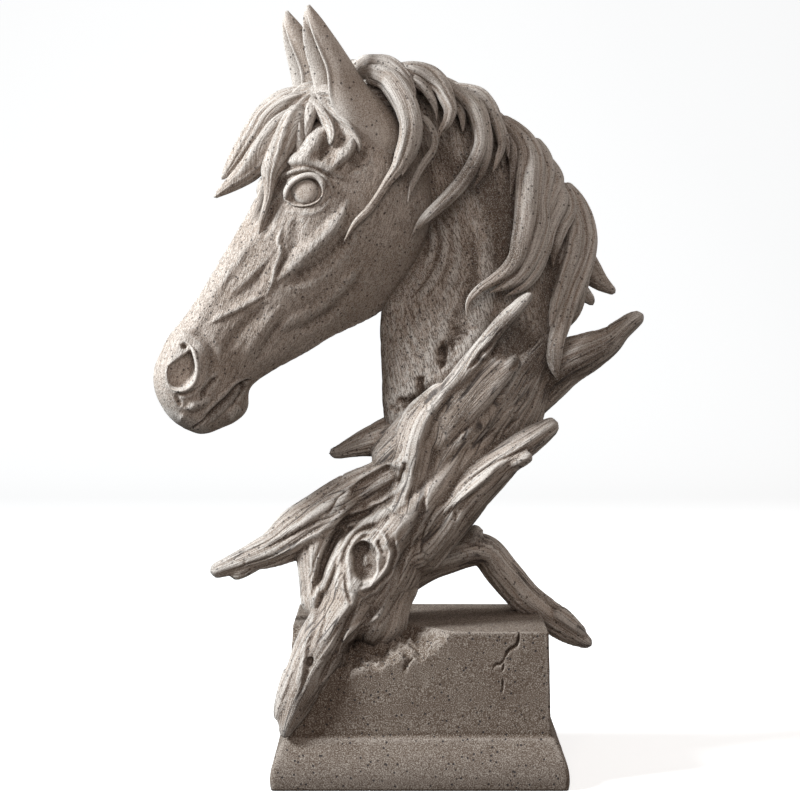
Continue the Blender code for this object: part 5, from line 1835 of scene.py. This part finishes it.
@dataclass
class Studio:
    """Camera, soft lights and a pale sweep for the floor and backdrop."""

    eye: Triple = (-0.0117, -1.25, 0.297)
    tilt: float = math.atan(0.05596)
    lens: float = 91.66
    sensor: float = 36.0
    paper_glow: float = 0.60
    # of each light: name, place, target, size, power and colour; a strong key from the left and two weak fills
    lamps: tuple[tuple, ...] = (
        ("key", (-1.18, -0.48, 1.02), (0.0, 0.0, 0.28), 0.38, 44.0, (0.88, 0.95, 1.0)),
        ("front_fill", (0.10, -1.65, 0.95), (0.0, 0.0, 0.30), 1.1, 10.5, (1.0, 0.91, 0.86)),
        ("back_fill", (1.2, 0.6, 0.9), (0.0, 0.0, 0.25), 0.8, 7.0, (1.0, 0.97, 0.94)),
    )
    air_colour: tuple[float, float, float, float] = (1.0, 0.94, 0.89, 1.0)
    air_strength: float = 0.12

    def camera(self) -> None:
        """Places the camera and makes it the scene's."""
        data = bpy.data.cameras.new("studio_camera")
        data.lens = self.lens
        data.sensor_width = self.sensor
        made = new_object("studio_camera", data)
        made.location = self.eye
        made.rotation_euler = (math.pi / 2.0 - self.tilt, 0.0, 0.0)
        bpy.context.scene.camera = made

    @staticmethod
    def area_light(name: str, place: Sequence[float], target: Sequence[float], size: float, power: float,
                   colour: Sequence[float]) -> None:
        """Adds a square area light that faces a target."""
        data = bpy.data.lights.new(name, "AREA")
        data.size = size
        data.energy = power
        data.color = colour
        made = new_object(name, data)
        made.location = place
        away = np.array(target) - np.array(place)
        pitch = math.atan2(math.hypot(away[0], away[1]), -away[2])
        made.rotation_euler = (pitch, 0.0, math.atan2(-away[0], away[1]))

    def lights(self) -> None:
        """Adds the lights and a little air all round."""
        for lamp in self.lamps:
            self.area_light(*lamp)
        world = bpy.data.worlds.new("studio_air")
        world.use_nodes = True
        air = world.node_tree.nodes["Background"].inputs
        air["Color"].default_value = self.air_colour
        air["Strength"].default_value = self.air_strength
        bpy.context.scene.world = world

    def sweep(self) -> None:
        """A floor that curves up into a backdrop: flat, a quarter circle, then straight up.

        It glows a little, as a lit paper sweep does, and throws no light back on the sculpture.
        """
        bend = np.linspace(0.0, math.pi / 2.0, 17)[1:]
        radius, back = 0.8, 1.6
        run = np.concatenate([[-3.0, back], back + radius * np.sin(bend), [back + radius]])
        rise = np.concatenate([[0.0, 0.0], radius * (1.0 - np.cos(bend)), [4.0]])
        across = np.linspace(-4.0, 4.0, 9)
        points = pack(across, run[:, None], rise[:, None]).reshape(-1, 3)
        rows, columns = len(run), len(across)
        low = (np.arange(rows - 1)[:, None] * columns + np.arange(columns - 1)).ravel()
        faces = np.stack([low, low + 1, low + columns + 1, low + columns], axis=-1)
        mesh = bpy.data.meshes.new("floor")
        mesh.from_pydata(points.tolist(), [], faces.tolist())
        mesh.shade_smooth()
        made = new_object("floor", mesh)
        made.visible_diffuse = made.visible_glossy = False
        mesh.materials.append(Nodes("floor_paper").surfaced(
            Base_Color=(0.90, 0.90, 0.90, 1.0), Roughness=1.0, Specular_IOR_Level=0.0,
            Emission_Color=(1.0, 1.0, 1.0, 1.0), Emission_Strength=self.paper_glow,
        ))


# ----------------------------------------
# Assembly


def dress(piece: bpy.types.Object, material: bpy.types.Material) -> None:
    """Gives a piece its material and its body, and hides the model's part that it stands for."""
    piece.data.materials.clear()
    piece.data.materials.append(material)
    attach(piece, "root")
    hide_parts(NODE)
    LOG.info("%s: %d faces", piece.name, len(piece.data.polygons))


def main() -> None:
    """Builds the studio and every piece of the sculpture."""
    logging.basicConfig(level=logging.INFO, format="%(name)s: %(message)s")
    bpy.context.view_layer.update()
    bpy.context.scene.view_settings.view_transform = "Standard"
    studio = Studio()
    studio.camera()
    studio.lights()
    studio.sweep()

    head, ears, mane = Head(), Ears(), Mane()
    # the plinth's stone is darker than the horse's: partly its own tone, partly painted shade on its front
    block = CastStone(
        body=(0.194, 0.152, 0.121), body_warm=(0.158, 0.118, 0.092), light_grain=(0.41, 0.36, 0.31),
        worn_and_highlight=(0.36, 0.31, 0.27), speckle_share=0.8, dark_share=1.0, streak_depth=0.0,
    )
    wood = CastStone(streak_depth=0.95, streak_per_mm=(0.42, 0.42, 0.014), check_share=0.8)
    coat = CastStone(streak_depth=0.95, streak_per_mm=(0.85, 0.5, 0.11))
    hair = CastStone(streak_depth=0.7, streak_per_mm=(0.5, 0.5, 0.02))
    surfaces = {
        "plinth_block": (Plinth().surface(), block),
        "horse_neck": (Neck().surface(), replace(coat, streak_depth=1.5)),
        "horse_head": (head.surface(), replace(coat, body=(0.515, 0.436, 0.378), body_warm=(0.425, 0.343, 0.284))),
        "eyes_and_nostrils": (head.eyes_and_rims(), CastStone(streak_depth=0.0)),
        "ears": (Surface.joined([ears.surface(side) for side in Side]), CastStone(streak_depth=0.15)),
        "crest_hair": (mane.crest_and_forelock(), hair),
    }
    for side, label in ((Side.NEAR, "near"), (Side.FAR, "far")):
        fore, rear = mane.flank(side)
        surfaces[f"{label}_poll_locks"] = (fore, hair)
        surfaces[f"{label}_neck_locks"] = (rear, hair)
    pieces = [(make_mesh(name, surface), finish) for name, (surface, finish) in surfaces.items()]
    driftwood, patina_and_painted_shade = Driftwood(), PatinaAndPaintedShade()
    whole = driftwood.build()
    bare = [*(piece for piece, _ in pieces), whole]
    for piece in bare:
        patina_and_painted_shade.patina_and_shade(piece)
    patina_and_painted_shade.painted_shade(bare)
    pieces += [(piece, wood) for piece in driftwood.split(whole)]
    for piece, finish in pieces:
        dress(piece, finish.material(f"{piece.name}_stone"))


if __name__ == "__main__":
    main()
